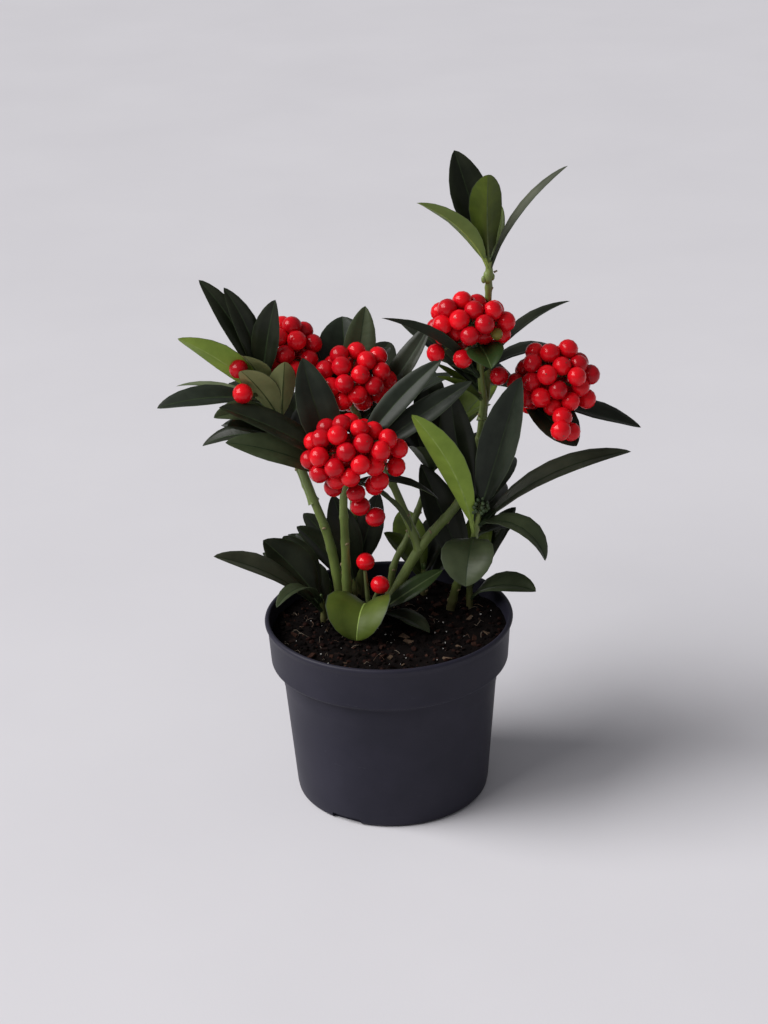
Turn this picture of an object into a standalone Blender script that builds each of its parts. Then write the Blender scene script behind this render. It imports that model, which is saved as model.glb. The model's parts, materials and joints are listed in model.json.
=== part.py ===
"""A potted skimmia: a nursery pot of compost, woody stems with their boughs, and the leafy, berried shoots they carry.

Metres, +Z up. The origin is the middle of the pot's flat underside, and the plant's front faces -Y.
"""

import math
import random
from collections import namedtuple

import bmesh
import bpy
from mathutils import Matrix, Vector
from mathutils.bvhtree import BVHTree

MM = 0.001
GAP = 0.3  # millimetres left between two pieces that touch

# Pot, in millimetres

POT_HEIGHT = 87.4
RIM_RADIUS = 57.0
COLLAR_RADIUS = 54.4
COLLAR_FOOT = 66.0
SHOULDER_RADIUS = 49.6
SHOULDER_FOOT = 61.5
FOOT_RADIUS = 44.6
FOOT_ROUND = 2.4
WALL = 1.3
FLOOR = 2.0
POT_STEPS = 36
NOTCHES = 3
NOTCH_WIDTH, NOTCH_HEIGHT, NOTCH_DEPTH = 15.0, 3.2, 6.0

COMPOST_TOP = 79.0
SOIL = COMPOST_TOP + GAP  # where every stem is cut flat

# Leaves, berries and twigs, in millimetres

STALK_SHARE = 0.12
STALK_HALF = 1.1
LEAF_THICK = 1.1
LEAF_STATIONS = (0.0, 0.12, 0.32, 0.56, 0.8, 1.0)
BLADE_FROM = 0.5  # from this share outwards a leaf keeps off its sisters
BERRY_RADIUS = 4.4
STALK_RADIUS = 0.6  # of one berry
RACHIS_RADIUS = 1.3  # of the stem in the middle of a truss
TWIG_RADIUS = 2.0
CLEAR = 0.45  # what a leaf or berry keeps from limbs and from other masses
GOLDEN = 137.508
BERRY_SHIFTS = [Vector((0, 0, 0))] + [
    Vector((math.cos(eighth * math.pi / 4), math.sin(eighth * math.pi / 4), rise)) * step
    for step in (1.6, 3.2, 4.8) for rise in (0, 0.8, -0.8) for eighth in (0, 2, 4, 6, 1, 3, 5, 7)
]

# One limb: its points, its radius at the foot and at the tip, and the limb whose side it leaves from

Limb = namedtuple("Limb", "points foot tip parent")

LIMBS = {
    "stem_left": Limb([(-21, 18, SOIL), (-26, 15, 116), (-33, 12, 141), (-38, 12, 157)], 2.5, 1.8, None),
    "stem_middle": Limb([(-19, 12, SOIL), (-19, 9, 118), (-19, 2, 143), (-18, 0, 150)], 2.3, 1.8, None),
    "stem_right": Limb(
        [(-3, 15, SOIL), (15, 16, 112), (32, 12, 135), (39, 12, 149), (43, 10, 168), (45, 10, 185)],
        2.5, 1.8, None,
    ),
    "stem_far_right": Limb([(29, 19, SOIL), (32, 16, 93), (37, 6, 109), (39, 2, 118)], 2.1, 1.7, None),
    "stem_back_right": Limb([(0, 24, SOIL), (3, 26, 99), (11, 29, 115), (20, 34, 138)], 1.8, 1.4, None),
    "stem_back": Limb([(-12, 34, SOIL), (-15, 40, 118), (-13, 44, 142), (-12, 47, 156)], 2.2, 1.7, None),
    "bough_left": Limb([(-33, 12, 138), (-38, 17, 150), (-42, 22, 160)], 1.5, 1.2, "stem_left"),
    "bough_centre": Limb([(15, 16, 112), (9, 17, 129), (4, 17, 143), (-4, 19, 161), (-10, 21, 172)], 2.0, 1.6,
                         "stem_right"),
    "bough_right": Limb([(43, 10, 168), (52, 12, 179), (60, 13, 186)], 1.6, 1.3, "stem_right"),
    "bough_top": Limb([(44, 10, 177), (47, 18, 192), (47, 18, 214), (48, 13, 245)], 1.7, 1.5, "stem_right"),
}

# One leaf: its place along the shoot, compass heading, rise of its chord, length, width, how far it bends
# downwards from root to tip, its roll about the midrib and the lift of its two halves; angles in degrees,
# heading 0 along +X

Leaf = namedtuple("Leaf", "at heading rise length width droop roll fold", defaults=(20,))

# One truss of berries: its middle, its half sizes, how many berries, and the seed that turns it

Truss = namedtuple("Truss", "middle half count seed")

# One shoot: the limb it grows from the tip of, or None for the compost, its own points, its leaves,
# its trusses, and the filling leaves on the sides that are not listed: how many, from and to which
# heading, rise, length and width

Shoot = namedtuple("Shoot", "parent points leaves trusses fill")

SHOOTS = {
    "foliage_top": Shoot("bough_top", [(48, 13, 248), (48, 12, 251)], [
        Leaf(0.9, 145, 70, 51, 18, 12, -40),
        Leaf(0.7, -93, 64, 53, 18, 6, 8, 38),
        Leaf(0.45, -146, 44, 53, 12, 34, 22),
        Leaf(0.5, 5, 52, 56, 9, 34, 5),
    ], [], (1, 60, 100, 62, 36, 11)),
    "foliage_crown": Shoot("stem_right", [(44, 11, 196), (43, 10, 213)], [
        Leaf(0.69, -154, 37, 61, 13, 30, 20),
        Leaf(0.69, 134, 8, 34, 11, 20, -10),
        Leaf(0.75, 25, 29, 52, 10, 40, -5),
        Leaf(1.0, -80, -5, 25, 17, 30, 10),
        Leaf(0.75, 35, -2, 49, 13, 40, 0),
        Leaf(0.4, 138, 27, 56, 13, 36, -10),
        Leaf(0.2, -172, 42, 30, 8, 10, 30),
        Leaf(0.3, -150, 34, 30, 9, 20, 20),
    ], [Truss((39, 7, 222), (14, 11, 11), 17, 3)], (4, 50, 105, 8, 48, 15)),
    "foliage_right": Shoot("bough_right", [(64, 13, 187), (68, 13, 189)], [
        Leaf(0.5, 5, -19, 57, 15, 8, 15),
        Leaf(0.25, -38, -29, 35, 21, 10, 20),
        Leaf(0.6, 75, -8, 50, 15, 26, 0),
        Leaf(0.6, 125, 4, 46, 14, 26, 0),
    ], [Truss((76, 10, 195), (15, 12, 13), 20, 5), Truss((78.5, -8, 179.5), (0.5, 2, 7), 3, 2),
        Truss((51, 4, 200), (1, 1, 1), 1, 1)],
        (1, 150, 175, -10, 44, 13)),
    "foliage_far_right": Shoot("stem_far_right", [(40, 1, 126), (42, 1, 136)], [
        Leaf(0.9, -10, 74, 72, 22, 8, 80, 38),
        Leaf(0.8, 171, 80, 67, 17, 4, -76),
        Leaf(0.6, -148, 64, 74, 14, 20, 50),
        Leaf(0.75, 7, 24, 78, 13, 38, 18),
        Leaf(0.8, -20, -23, 35, 13, 110, 14),
        Leaf(0.6, 35, -14, 34, 13, 50, 0),
        Leaf(0.55, -102, -27, 28, 25, 90, 0),
    ], [], (3, 50, 120, 25, 50, 15)),
    "foliage_left": Shoot("stem_left", [(-45, 15, 176), (-54, 17, 191)], [
        Leaf(0.9, 165, 62, 63, 12, 42, -50),
        Leaf(1.0, 170, 73, 51, 11, 28, -62),
        Leaf(1.0, -31, 78, 46, 14, 20, 95),
        Leaf(0.8, -158, 44, 60, 15, 22, 52),
        Leaf(0.8, 149, 3, 54, 6, 40, -5),
        Leaf(0.9, -170, 2, 50, 13, 36, -25),
        Leaf(0.6, -152, 22, 38, 13, 56, -30),
        Leaf(0.7, -130, 52, 40, 15, 20, 30),
        Leaf(0.7, -73, 71, 34, 14, 0, 0),
        Leaf(0.9, -120, 56, 34, 13, 40, 0),
    ], [Truss((-42, 28, 205), (13, 12, 13), 16, 7), Truss((-60, 5, 206), (1, 1, 1), 1, 4),
        Truss((-59.5, 3, 195), (1, 1, 1), 1, 4)],
        (4, 40, 140, 20, 50, 15)),
    "foliage_lower_left": Shoot("bough_left", [(-44, 23, 163), (-46, 24, 166)], [
        Leaf(0.5, -152, 28, 34, 16, 30, -20),
        Leaf(0.9, 165, -9, 40, 11, 50, -20),
    ], [], (3, 60, 150, 10, 46, 14)),
    "foliage_centre": Shoot("bough_centre", [(-14, 22, 182), (-17, 22, 190)], [
        Leaf(0.8, 96, 56, 38, 26, 10, 0),
        Leaf(0.7, 58, 71, 44, 15, 0, 30),
        Leaf(0.3, 9, 53, 56, 12, -10, 40),
        Leaf(0.8, 61, 32, 32, 10, 20, 20),
        Leaf(0.8, 136, 47, 30, 14, 10, 0),
    ], [Truss((-13, 17, 196), (14, 12, 11), 18, 1)], (3, 30, 120, 8, 44, 15)),
    "foliage_front": Shoot("stem_middle", [(-16, -5, 159), (-15, -9, 166)], [
        Leaf(0.5, 154, 70, 59, 19, -6, -50),
        Leaf(0.4, -174, 24, 58, 16, 34, -35),
        Leaf(0.7, 178, 30, 65, 17, 30, -20),
        Leaf(0.9, 8, 33, 66, 12, 10, 50),
        Leaf(0.4, 7, -15, 43, 9, 50, 0),
        Leaf(0.5, 23, -46, 44, 10, 50, 0),
        Leaf(0.95, 12, 47, 62, 12, 10, 50),
    ], [Truss((-14, -13, 172), (19, 12, 13), 26, 4), Truss((-13, -14, 156), (13, 3, 2), 3, 0),
        Truss((-12, -14, 147), (1, 1, 1), 1, 1), Truss((-7, -15, 142), (1, 1, 1), 1, 1)],
        (0, 0, 0, 0, 0, 0)),
    "foliage_back": Shoot("stem_back", [(-12, 48, 162), (-12, 50, 170)], [], [
        Truss((-14, 46, 182), (12, 10, 8), 6, 6),
    ], (9, 10, 170, 25, 52, 17)),
    "foliage_back_right": Shoot("stem_back_right", [(22, 36, 144), (24, 38, 150)], [
        Leaf(0.5, -110, 45, 30, 14, 20, 0),
    ], [], (6, -20, 150, 35, 52, 17)),
    "foliage_foot_left": Shoot(None, [(-30, 8, SOIL), (-30, 8, 85), (-31, 8, 91)], [
        Leaf(0.5, -157, 37, 65, 15, 30, -25),
        Leaf(0.8, 167, 49, 41, 20, 10, -40),
        Leaf(0.9, 134, 47, 36, 18, 10, -14),
        Leaf(0.9, -125, 19, 36, 9, 90, 0),
        Leaf(0.8, 137, 22, 41, 13, 20, 0),
    ], [], (2, 60, 110, 20, 40, 16)),
    "foliage_foot_back": Shoot(None, [(-16, 28, SOIL), (-16, 29, 86), (-16, 30, 92)], [
        Leaf(0.5, 173, 80, 49, 16, 6, -80),
        Leaf(0.95, 6, 73, 45, 14, 6, 80),
    ], [], (4, 60, 150, 35, 45, 16)),
    "foliage_foot_front": Shoot(None, [(-9, 10, SOIL), (-9, 10, 82), (-9, 10, 85)], [
        Leaf(1.0, -104, -10, 25, 34, 140, 0, 30),
    ], [Truss((-10.6, 6, 110.4), (1, 1, 1), 1, 1), Truss((-3.6, 2, 100.4), (1, 1, 1), 1, 2)],
        (0, 0, 0, 0, 0, 0)),
    "foliage_foot_middle": Shoot(None, [(-5, 7, SOIL), (-5, 7, 84), (-4, 7, 88)], [
        Leaf(0.5, 12, 30, 36, 9, 20, 40),
    ], [], (1, -60, -20, 10, 30, 13)),
    "foliage_foot_centre": Shoot(None, [(17, 35, SOIL), (17, 35, 86), (17, 36, 92)], [
        Leaf(0.6, 172, 52, 30, 13, 20, -20),
    ], [], (3, 30, 110, 30, 44, 15)),
    "foliage_foot_right": Shoot(None, [(38, 20, SOIL), (38, 20, 86), (38, 20, 93)], [
        Leaf(0.3, -38, 21, 40, 15, 60, 20),
        Leaf(0.8, 155, 68, 63, 18, 10, -50),
    ], [], (4, 20, 110, 35, 45, 16)),
}


def clear_scene():
    for obj in list(bpy.data.objects):
        bpy.data.objects.remove(obj, do_unlink=True)
    for collection in list(bpy.data.collections):
        bpy.data.collections.remove(collection)


def new_collection(name, helper=False):
    collection = bpy.data.collections.new(name)
    collection.hide_render = helper
    bpy.context.scene.collection.children.link(collection)
    return collection


def material(name, colour, roughness, metallic=0.0):
    made = bpy.data.materials.new(name)
    made.use_nodes = True
    shader = made.node_tree.nodes["Principled BSDF"]
    shader.inputs["Base Color"].default_value = (*colour, 1.0)
    shader.inputs["Roughness"].default_value = roughness
    shader.inputs["Metallic"].default_value = metallic
    return made


def mesh_object(name, bm, collection, finish):
    """Puts a bmesh that was worked in millimetres into the scene as an object in metres."""
    bmesh.ops.scale(bm, vec=(MM, MM, MM), verts=bm.verts)
    mesh = bpy.data.meshes.new(name)
    bm.to_mesh(mesh)
    bm.free()
    mesh.materials.append(finish)
    obj = bpy.data.objects.new(name, mesh)
    collection.objects.link(obj)
    return obj


def turned(name, profile, steps, collection, finish):
    """Turns an outline of (radius, height) in millimetres, inner side first, once round the Z axis."""
    mesh = bpy.data.meshes.new(name)
    points = [(radius * MM, 0.0, height * MM) for radius, height in profile]
    edges = [(i, i + 1) for i in range(len(points) - 1)]
    mesh.from_pydata(points, edges, [])
    mesh.materials.append(finish)
    obj = bpy.data.objects.new(name, mesh)
    collection.objects.link(obj)
    screw = obj.modifiers.new("turn", "SCREW")
    screw.angle = math.tau
    screw.steps = screw.render_steps = steps
    screw.use_merge_vertices = True
    screw.merge_threshold = 0.00001
    screw.use_smooth_shade = True
    return obj


def arc(centre, radius, start, end, steps):
    """Points (r, z) of an arc from start to end, in degrees."""
    angles = [math.radians(start + (end - start) * i / steps) for i in range(steps + 1)]
    return [(centre[0] + radius * math.cos(a), centre[1] + radius * math.sin(a)) for a in angles]


def inner_radius(height):
    """Radius of the inside of the pot's body below its shoulder."""
    share = (height - FLOOR) / (SHOULDER_FOOT - FLOOR)
    return FOOT_RADIUS + (SHOULDER_RADIUS - FOOT_RADIUS) * share - WALL


def make_pot(collection, cutters, finish):
    """A thin moulded pot: rolled rim, straight collar, rounded shoulder, tapering body and notched foot."""
    lip = WALL * 0.9
    rim = arc((RIM_RADIUS - lip, POT_HEIGHT - lip), lip, 180, 0, 3)
    profile = [(0.0, FLOOR), (inner_radius(FLOOR), FLOOR), (inner_radius(SHOULDER_FOOT), SHOULDER_FOOT)]
    profile += [(COLLAR_RADIUS - WALL, COLLAR_FOOT + WALL)]
    profile += rim
    profile += [(RIM_RADIUS - 0.6, POT_HEIGHT - 3.4), (RIM_RADIUS - 1.3, POT_HEIGHT - 4.2)]
    profile += [(COLLAR_RADIUS + 0.3, COLLAR_FOOT + 2.0), (COLLAR_RADIUS - 0.4, COLLAR_FOOT)]
    profile += [(SHOULDER_RADIUS + 1.6, SHOULDER_FOOT + 1.4), (SHOULDER_RADIUS, SHOULDER_FOOT - 1.0)]
    profile += arc((FOOT_RADIUS - FOOT_ROUND, FOOT_ROUND), FOOT_ROUND, 0, -90, 2)
    profile += [(0.0, 0.0)]
    pot = turned("pot", profile, POT_STEPS, collection, finish)

    for index in range(NOTCHES):
        bm = bmesh.new()
        bmesh.ops.create_cube(bm, size=1.0)
        bmesh.ops.scale(bm, vec=(NOTCH_DEPTH, NOTCH_WIDTH, 2 * NOTCH_HEIGHT), verts=bm.verts)
        bmesh.ops.translate(bm, vec=(FOOT_RADIUS, 0, 0), verts=bm.verts)
        turn = Matrix.Rotation(math.tau * index / NOTCHES, 3, "Z")
        bmesh.ops.rotate(bm, cent=(0, 0, 0), matrix=turn, verts=bm.verts)
        notch = mesh_object(f"notch_{index}", bm, cutters, finish)
        notch.hide_render = True
        notch.display_type = "WIRE"
    cut = pot.modifiers.new("drain notches", "BOOLEAN")
    cut.operation = "DIFFERENCE"
    cut.operand_type = "COLLECTION"
    cut.collection = cutters
    cut.solver = "EXACT"
    return pot


def make_compost(collection, finish):
    """The filling: it follows the inside of the pot at the usual gap, and its top is level."""
    low = FLOOR + GAP
    outer = [(inner_radius(low) - GAP, low)]
    outer += [(inner_radius(SHOULDER_FOOT) - GAP, SHOULDER_FOOT + 0.2)]
    outer += [(COLLAR_RADIUS - WALL - GAP, COLLAR_FOOT + WALL + 0.2)]
    outer += [(COLLAR_RADIUS - WALL + 0.6, COMPOST_TOP)]
    profile = [(0.0, COMPOST_TOP)] + outer[::-1] + [(0.0, low)]
    return turned("compost", profile, POT_STEPS, collection, finish)


def smooth_path(points, per_span=3):
    """A Catmull-Rom curve through the given points, with its foot straight up from the first one."""
    knots = [Vector(p) for p in points]
    knots = [2 * knots[0] - knots[1]] + knots + [2 * knots[-1] - knots[-2]]
    path = []
    for a, b, c, d in zip(knots, knots[1:], knots[2:], knots[3:]):
        for step in range(per_span):
            t = step / per_span
            path.append(0.5 * (2 * b + (c - a) * t + (2 * a - 5 * b + 4 * c - d) * t * t
                               + (3 * b - a - 3 * c + d) * t ** 3))
    return path + [knots[-2]]


def tube(name, path, foot, tip, resolution, collection, finish):
    """A round tapering limb along the path, as a closed mesh; sizes in millimetres."""
    curve = bpy.data.curves.new(name, "CURVE")
    curve.dimensions = "3D"
    curve.bevel_depth = MM
    curve.bevel_resolution = resolution
    curve.use_fill_caps = True
    spline = curve.splines.new("POLY")
    spline.points.add(len(path) - 1)
    for index, (point, knot) in enumerate(zip(path, spline.points)):
        knot.co = (*(point * MM), 1.0)
        knot.radius = foot + (tip - foot) * index / (len(path) - 1)
    drawn = bpy.data.objects.new(name + "_line", curve)
    collection.objects.link(drawn)
    graph = bpy.context.evaluated_depsgraph_get()
    mesh = bpy.data.meshes.new_from_object(drawn.evaluated_get(graph))
    bm = bmesh.new()
    bm.from_mesh(mesh)
    bmesh.ops.remove_doubles(bm, verts=bm.verts, dist=0.00001)
    bmesh.ops.recalc_face_normals(bm, faces=bm.faces)
    bm.to_mesh(mesh)
    bm.free()
    mesh.materials.clear()
    mesh.materials.append(finish)
    mesh.shade_smooth()
    mesh.set_sharp_from_angle(angle=math.radians(50))
    obj = bpy.data.objects.new(name, mesh)
    obj.matrix_world = drawn.matrix_world
    collection.objects.link(obj)
    bpy.data.objects.remove(drawn, do_unlink=True)
    return obj


def stand_upright(path):
    """Makes a path's first step vertical, so that the limb's foot is cut level."""
    path[1] = Vector((path[0].x, path[0].y, path[1].z))
    return path


def make_limb(name, limb, collection, cutters, finish):
    """One tapering limb. A bough starts inside its parent's side and is cut back to the usual gap."""
    path = smooth_path(limb.points)
    if limb.parent is None:
        path = stand_upright(path)
    obj = tube(name, path, limb.foot, limb.tip, 1, collection, finish)
    if limb.parent is not None:
        parent = LIMBS[limb.parent]
        fat = tube(name + "_seat", stand_upright(smooth_path(parent.points)), parent.foot + GAP,
                   parent.tip + GAP, 1, cutters, finish)
        fat.hide_render = True
        fat.display_type = "WIRE"
        cut = obj.modifiers.new("seat", "BOOLEAN")
        cut.operation = "DIFFERENCE"
        cut.object = fat
        cut.solver = "EXACT"
    return obj


def leaf_half_width(t, width):
    """Half the blade's width at a share t of its length: a thin stalk, then a lance-shaped blade."""
    if t <= STALK_SHARE:
        return STALK_HALF
    blade = (t - STALK_SHARE) / (1 - STALK_SHARE)
    return STALK_HALF * (1 - blade) ** 2 + width / 2 * math.sin(math.pi * blade ** 1.12) ** 0.7


def leaf_frame(leaf, root, t):
    """The midrib's point at a share t of the leaf's length, with the directions along, across and up from it."""
    bend = math.radians(leaf.droop)
    start = math.radians(leaf.rise) + bend / 2
    out = Vector((math.cos(math.radians(leaf.heading)), math.sin(math.radians(leaf.heading)), 0))
    if abs(bend) < 1e-6:
        reach, lift, chord = t * math.cos(start), t * math.sin(start), 1.0
    else:
        reach = (math.sin(start) - math.sin(start - bend * t)) / bend
        lift = (math.cos(start - bend * t) - math.cos(start)) / bend
        chord = math.sin(bend / 2) / (bend / 2)
    point = root + (out * reach + Vector((0, 0, lift))) * leaf.length / chord
    angle = start - bend * t
    along = out * math.cos(angle) + Vector((0, 0, math.sin(angle)))
    across = Matrix.Rotation(math.radians(leaf.roll), 3, along) @ Vector((out.y, -out.x, 0))
    return point, along, across, across.cross(along)


def leaf_solid(leaf, root, extra=0.0, start=0.0):
    """A folded, bent blade: a four-sided bar, cut into stations, whose corners become the two margins
    and the upper and lower side of the midrib. Extra is added all round, for testing clearances."""
    stations = [t for t in LEAF_STATIONS if t >= start]
    bm = bmesh.new()
    bmesh.ops.create_cone(bm, cap_ends=True, segments=4, radius1=1, radius2=1, depth=1)
    long_edges = [e for e in bm.edges if abs(e.verts[0].co.z - e.verts[1].co.z) > 0.5]
    bmesh.ops.subdivide_edges(bm, edges=long_edges, cuts=len(stations) - 2)
    for vert in bm.verts:
        t = stations[round((vert.co.z + 0.5) * (len(stations) - 1))]
        point, _, across, up = leaf_frame(leaf, root, t)
        half = leaf_half_width(t, leaf.width) if t < 1 else 0.0
        thick = LEAF_THICK * (1.5 - t) if t < 1 else 0.0
        fold = math.radians(leaf.fold) * min(1.0, t / 0.3)
        if abs(vert.co.x) > 0.5:
            side = math.copysign(half + extra, vert.co.x)
            vert.co = point + across * side * math.cos(fold) + up * abs(side) * math.sin(fold)
        else:
            vert.co = point + up * math.copysign(thick / 2 + extra, vert.co.y)
    bmesh.ops.remove_doubles(bm, verts=bm.verts, dist=0.001)
    bmesh.ops.recalc_face_normals(bm, faces=bm.faces)
    return bm


def berry_solid(middle, seed, extra=0.0):
    bm = bmesh.new()
    bmesh.ops.create_icosphere(bm, subdivisions=1, radius=BERRY_RADIUS * 1.05 + extra)
    turn = Matrix.Rotation(seed * 2.4, 3, "Z") @ Matrix.Rotation(seed * 1.7, 3, "X")
    bmesh.ops.rotate(bm, cent=(0, 0, 0), matrix=turn, verts=bm.verts)
    bmesh.ops.translate(bm, vec=middle, verts=bm.verts)
    return bm


def twig_solid(start, end, radius, sides=3):
    """A straight tapering twig between two points."""
    span = end - start
    bm = bmesh.new()
    bmesh.ops.create_cone(bm, cap_ends=True, segments=sides, radius1=radius * 1.15, radius2=radius * 0.85,
                          depth=span.length)
    place = Matrix.Translation((start + end) / 2) @ span.to_track_quat("Z", "Y").to_matrix().to_4x4()
    bmesh.ops.transform(bm, matrix=place, verts=bm.verts)
    return bm


def truss_sites(truss):
    """Berry middles over an egg-shaped truss: golden-angle turns from its crown down to below its waist,
    then pushed apart until neighbours hardly press on each other."""
    dice = random.Random(truss.seed)
    half = Vector(truss.half)
    sites = []
    for index in range(truss.count):
        height = 1 - 1.75 * (index + 0.5) / truss.count
        ring = math.sqrt(max(0.0, 1 - height * height))
        angle = math.radians(GOLDEN * index + 47 * truss.seed)
        wobble = Vector([dice.uniform(-0.08, 0.08) for _ in range(3)])
        sites.append(Vector((ring * math.cos(angle), ring * math.sin(angle), height)) + wobble)
    sites = [Vector((s.x * half.x, s.y * half.y, s.z * half.z)) for s in sites]
    for _ in range(40):
        for i, one in enumerate(sites):
            for other in sites[i + 1:]:
                apart = one - other
                short = 2 * BERRY_RADIUS * 1.01 - apart.length
                if short > 0:
                    push = apart.normalized() * short * 0.25
                    one += push
                    other -= push
    return [Vector(truss.middle) + s for s in sites]


def point_on(path, share):
    """The point at a share of the way along a list of points."""
    place = share * (len(path) - 1)
    index = min(int(place), len(path) - 2)
    return path[index].lerp(path[index + 1], place - index)


class Space:
    """What has been placed so far, so that later leaves and berries keep clear of it."""

    def __init__(self):
        self.solids = []

    def add(self, owner, kind, bm):
        corners = [v.co.copy() for v in bm.verts]
        self.solids.append((owner, kind, BVHTree.FromBMesh(bm), box_of(corners)))
        bm.free()

    def blocker(self, owner, bm, own_kinds=()):
        """The first solid of another owner, or of the owner's own kinds named, that this one touches."""
        tree = BVHTree.FromBMesh(bm)
        box = box_of([v.co for v in bm.verts])
        bm.free()
        for other, kind, other_tree, other_box in self.solids:
            if other == owner and kind not in own_kinds:
                continue
            if boxes_meet(box, other_box) and tree.overlap(other_tree):
                return f"{kind} of {other}"
        return None


def box_of(points):
    return [(min(p[i] for p in points), max(p[i] for p in points)) for i in range(3)]


def boxes_meet(a, b):
    return all(a[i][0] <= b[i][1] and b[i][0] <= a[i][1] for i in range(3))


def shoot_path(name):
    """A shoot's own stem: from just past its limb's tip, or from the compost, through its points."""
    shoot = SHOOTS[name]
    if shoot.parent is None:
        return stand_upright(smooth_path(shoot.points, 2))
    limb = smooth_path(LIMBS[shoot.parent].points)
    tip, before = limb[-1], limb[-2]
    start = tip + (tip - before).normalized() * GAP
    return [start, start + (tip - before).normalized() * 1.5] + [Vector(p) for p in shoot.points]


def plan_shoots():
    """Chooses every leaf and berry: the listed leaves first, then the berries, then the filling leaves.
    One that would touch a limb, the pot or another shoot is turned a little, or else skipped."""
    space = Space()
    for name, limb in LIMBS.items():
        path = smooth_path(limb.points)
        for index, (a, b) in enumerate(zip(path, path[1:])):
            radius = limb.foot + (limb.tip - limb.foot) * index / len(path)
            space.add(name, "limb", twig_solid(a, b, radius, 8))
    paths = {name: shoot_path(name) for name in SHOOTS}
    for name, path in paths.items():
        for a, b in zip(path, path[1:]):
            space.add(name, "stem", twig_solid(a, b, TWIG_RADIUS, 6))
    plan = {name: {"leaves": [], "berries": []} for name in SHOOTS}
    blockers = []

    def try_leaf(name, leaf, nudges):
        root = point_on(paths[name], leaf.at)
        for turn, lift in nudges:
            tried = leaf._replace(heading=leaf.heading + turn, rise=leaf.rise + lift)
            met = space.blocker(name, leaf_solid(tried, root, CLEAR))
            met = met or space.blocker(name, leaf_solid(tried, root, CLEAR, BLADE_FROM), ("leaf", "berry"))
            if met:
                blockers.append(met)
                continue
            space.add(name, "leaf", leaf_solid(tried, root, 0.0, BLADE_FROM))
            space.add(name, "root", leaf_solid(tried, root))
            plan[name]["leaves"].append((tried, root))
            return tried
        return None

    listed = [(0, 0)] + [(t, r) for t in (4, -4, 9, -9, 15, -15) for r in (0, 5, -5)] + [(0, 8), (0, -8)]
    for name, shoot in SHOOTS.items():
        for index, leaf in enumerate(shoot.leaves):
            blockers.clear()
            found = try_leaf(name, leaf, listed)
            if found is None:
                print(f"{name}: listed leaf {index} finds no room by {sorted(set(blockers))}")
            elif found != leaf:
                print(f"{name}: leaf {index} turned by {found.heading - leaf.heading}, {found.rise - leaf.rise}")
    for name, shoot in SHOOTS.items():
        for truss in shoot.trusses:
            skipped = []
            for index, site in enumerate(truss_sites(truss)):
                for shift in BERRY_SHIFTS:
                    spot = site + shift
                    met = space.blocker(name, berry_solid(spot, index, CLEAR), ("leaf",))
                    met = met or space.blocker(name, berry_solid(spot, index), ("leaf", "berry"))
                    if not met:
                        space.add(name, "berry", berry_solid(spot, index))
                        plan[name]["berries"].append((spot, index, truss))
                        break
                else:
                    skipped.append(met)
            if skipped:
                print(f"{name}: {len(skipped)} berries skipped of {truss.count} by {sorted(set(skipped))}")
    for name, shoot in SHOOTS.items():
        count, first, last, rise, length, width = shoot.fill
        dice = random.Random(name)
        placed = 0
        for index in range(12 * count):
            if placed == count:
                break
            share = (index * GOLDEN / 360 + 0.17) % 1.0
            leaf = Leaf(0.25 + 0.7 * dice.random(), first + (last - first) * share,
                        rise + dice.uniform(-18, 18), length * dice.uniform(0.8, 1.05),
                        width * dice.uniform(0.85, 1.1), dice.uniform(15, 40), dice.uniform(-12, 12))
            if try_leaf(name, leaf, [(0, 0), (8, 0), (-8, 0)]):
                placed += 1
        if placed < count:
            print(f"{name}: {placed} filling leaves of {count}")
    return paths, plan


def rachis(path, truss):
    """Both ends of the stem in the middle of a truss: from inside the shoot's tip to above the truss's middle."""
    return path[-1] - Vector((0, 0, 1)), Vector(truss.middle) + Vector((0, 0, 0.3 * truss.half[2]))


def berry_stalk(site, index, path, truss):
    """Both ends of a berry's stalk. The berries count down from the top of the truss, and so do the
    places where their stalks leave its stem; the stalk ends inside the berry."""
    base, top = rachis(path, truss)
    foot = top.lerp(base, 0.75 * (index + 0.5) / truss.count)
    return foot, site.lerp(foot, 0.4 * BERRY_RADIUS / (site - foot).length)


def fuse(obj, pieces):
    """One union of the object with every solid of the collection; only the outer skin is kept."""
    join = obj.modifiers.new("fuse", "BOOLEAN")
    join.operation = "UNION"
    join.operand_type = "COLLECTION"
    join.collection = pieces
    join.solver = "EXACT"
    join.material_mode = "TRANSFER"
    graph = bpy.context.evaluated_depsgraph_get()
    mesh = bpy.data.meshes.new_from_object(obj.evaluated_get(graph))
    obj.modifiers.clear()
    bm = bmesh.new()
    bm.from_mesh(mesh)
    bmesh.ops.remove_doubles(bm, verts=bm.verts, dist=0.000001)
    bmesh.ops.triangulate(bm, faces=bm.faces)
    shells = shells_of(bm)
    largest = max(shells, key=len)
    for shell in shells:
        if shell is not largest:
            bmesh.ops.delete(bm, geom=shell, context="FACES")
    bm.to_mesh(mesh)
    faces = len(bm.faces)
    bm.free()
    obj.data = mesh
    for piece in list(pieces.objects):
        bpy.data.objects.remove(piece, do_unlink=True)
    bpy.data.collections.remove(pieces)
    return faces, len(shells) - 1


def shells_of(bm):
    """The faces of each shell; an edge where four faces meet is where two shells only touch."""
    seen, shells = set(), []
    for face in bm.faces:
        if face in seen:
            continue
        seen.add(face)
        shell, edge_of = [face], [face]
        while edge_of:
            for edge in edge_of.pop().edges:
                if len(edge.link_faces) != 2:
                    continue
                for other in edge.link_faces:
                    if other not in seen:
                        seen.add(other)
                        shell.append(other)
                        edge_of.append(other)
        shells.append(shell)
    return shells


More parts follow.
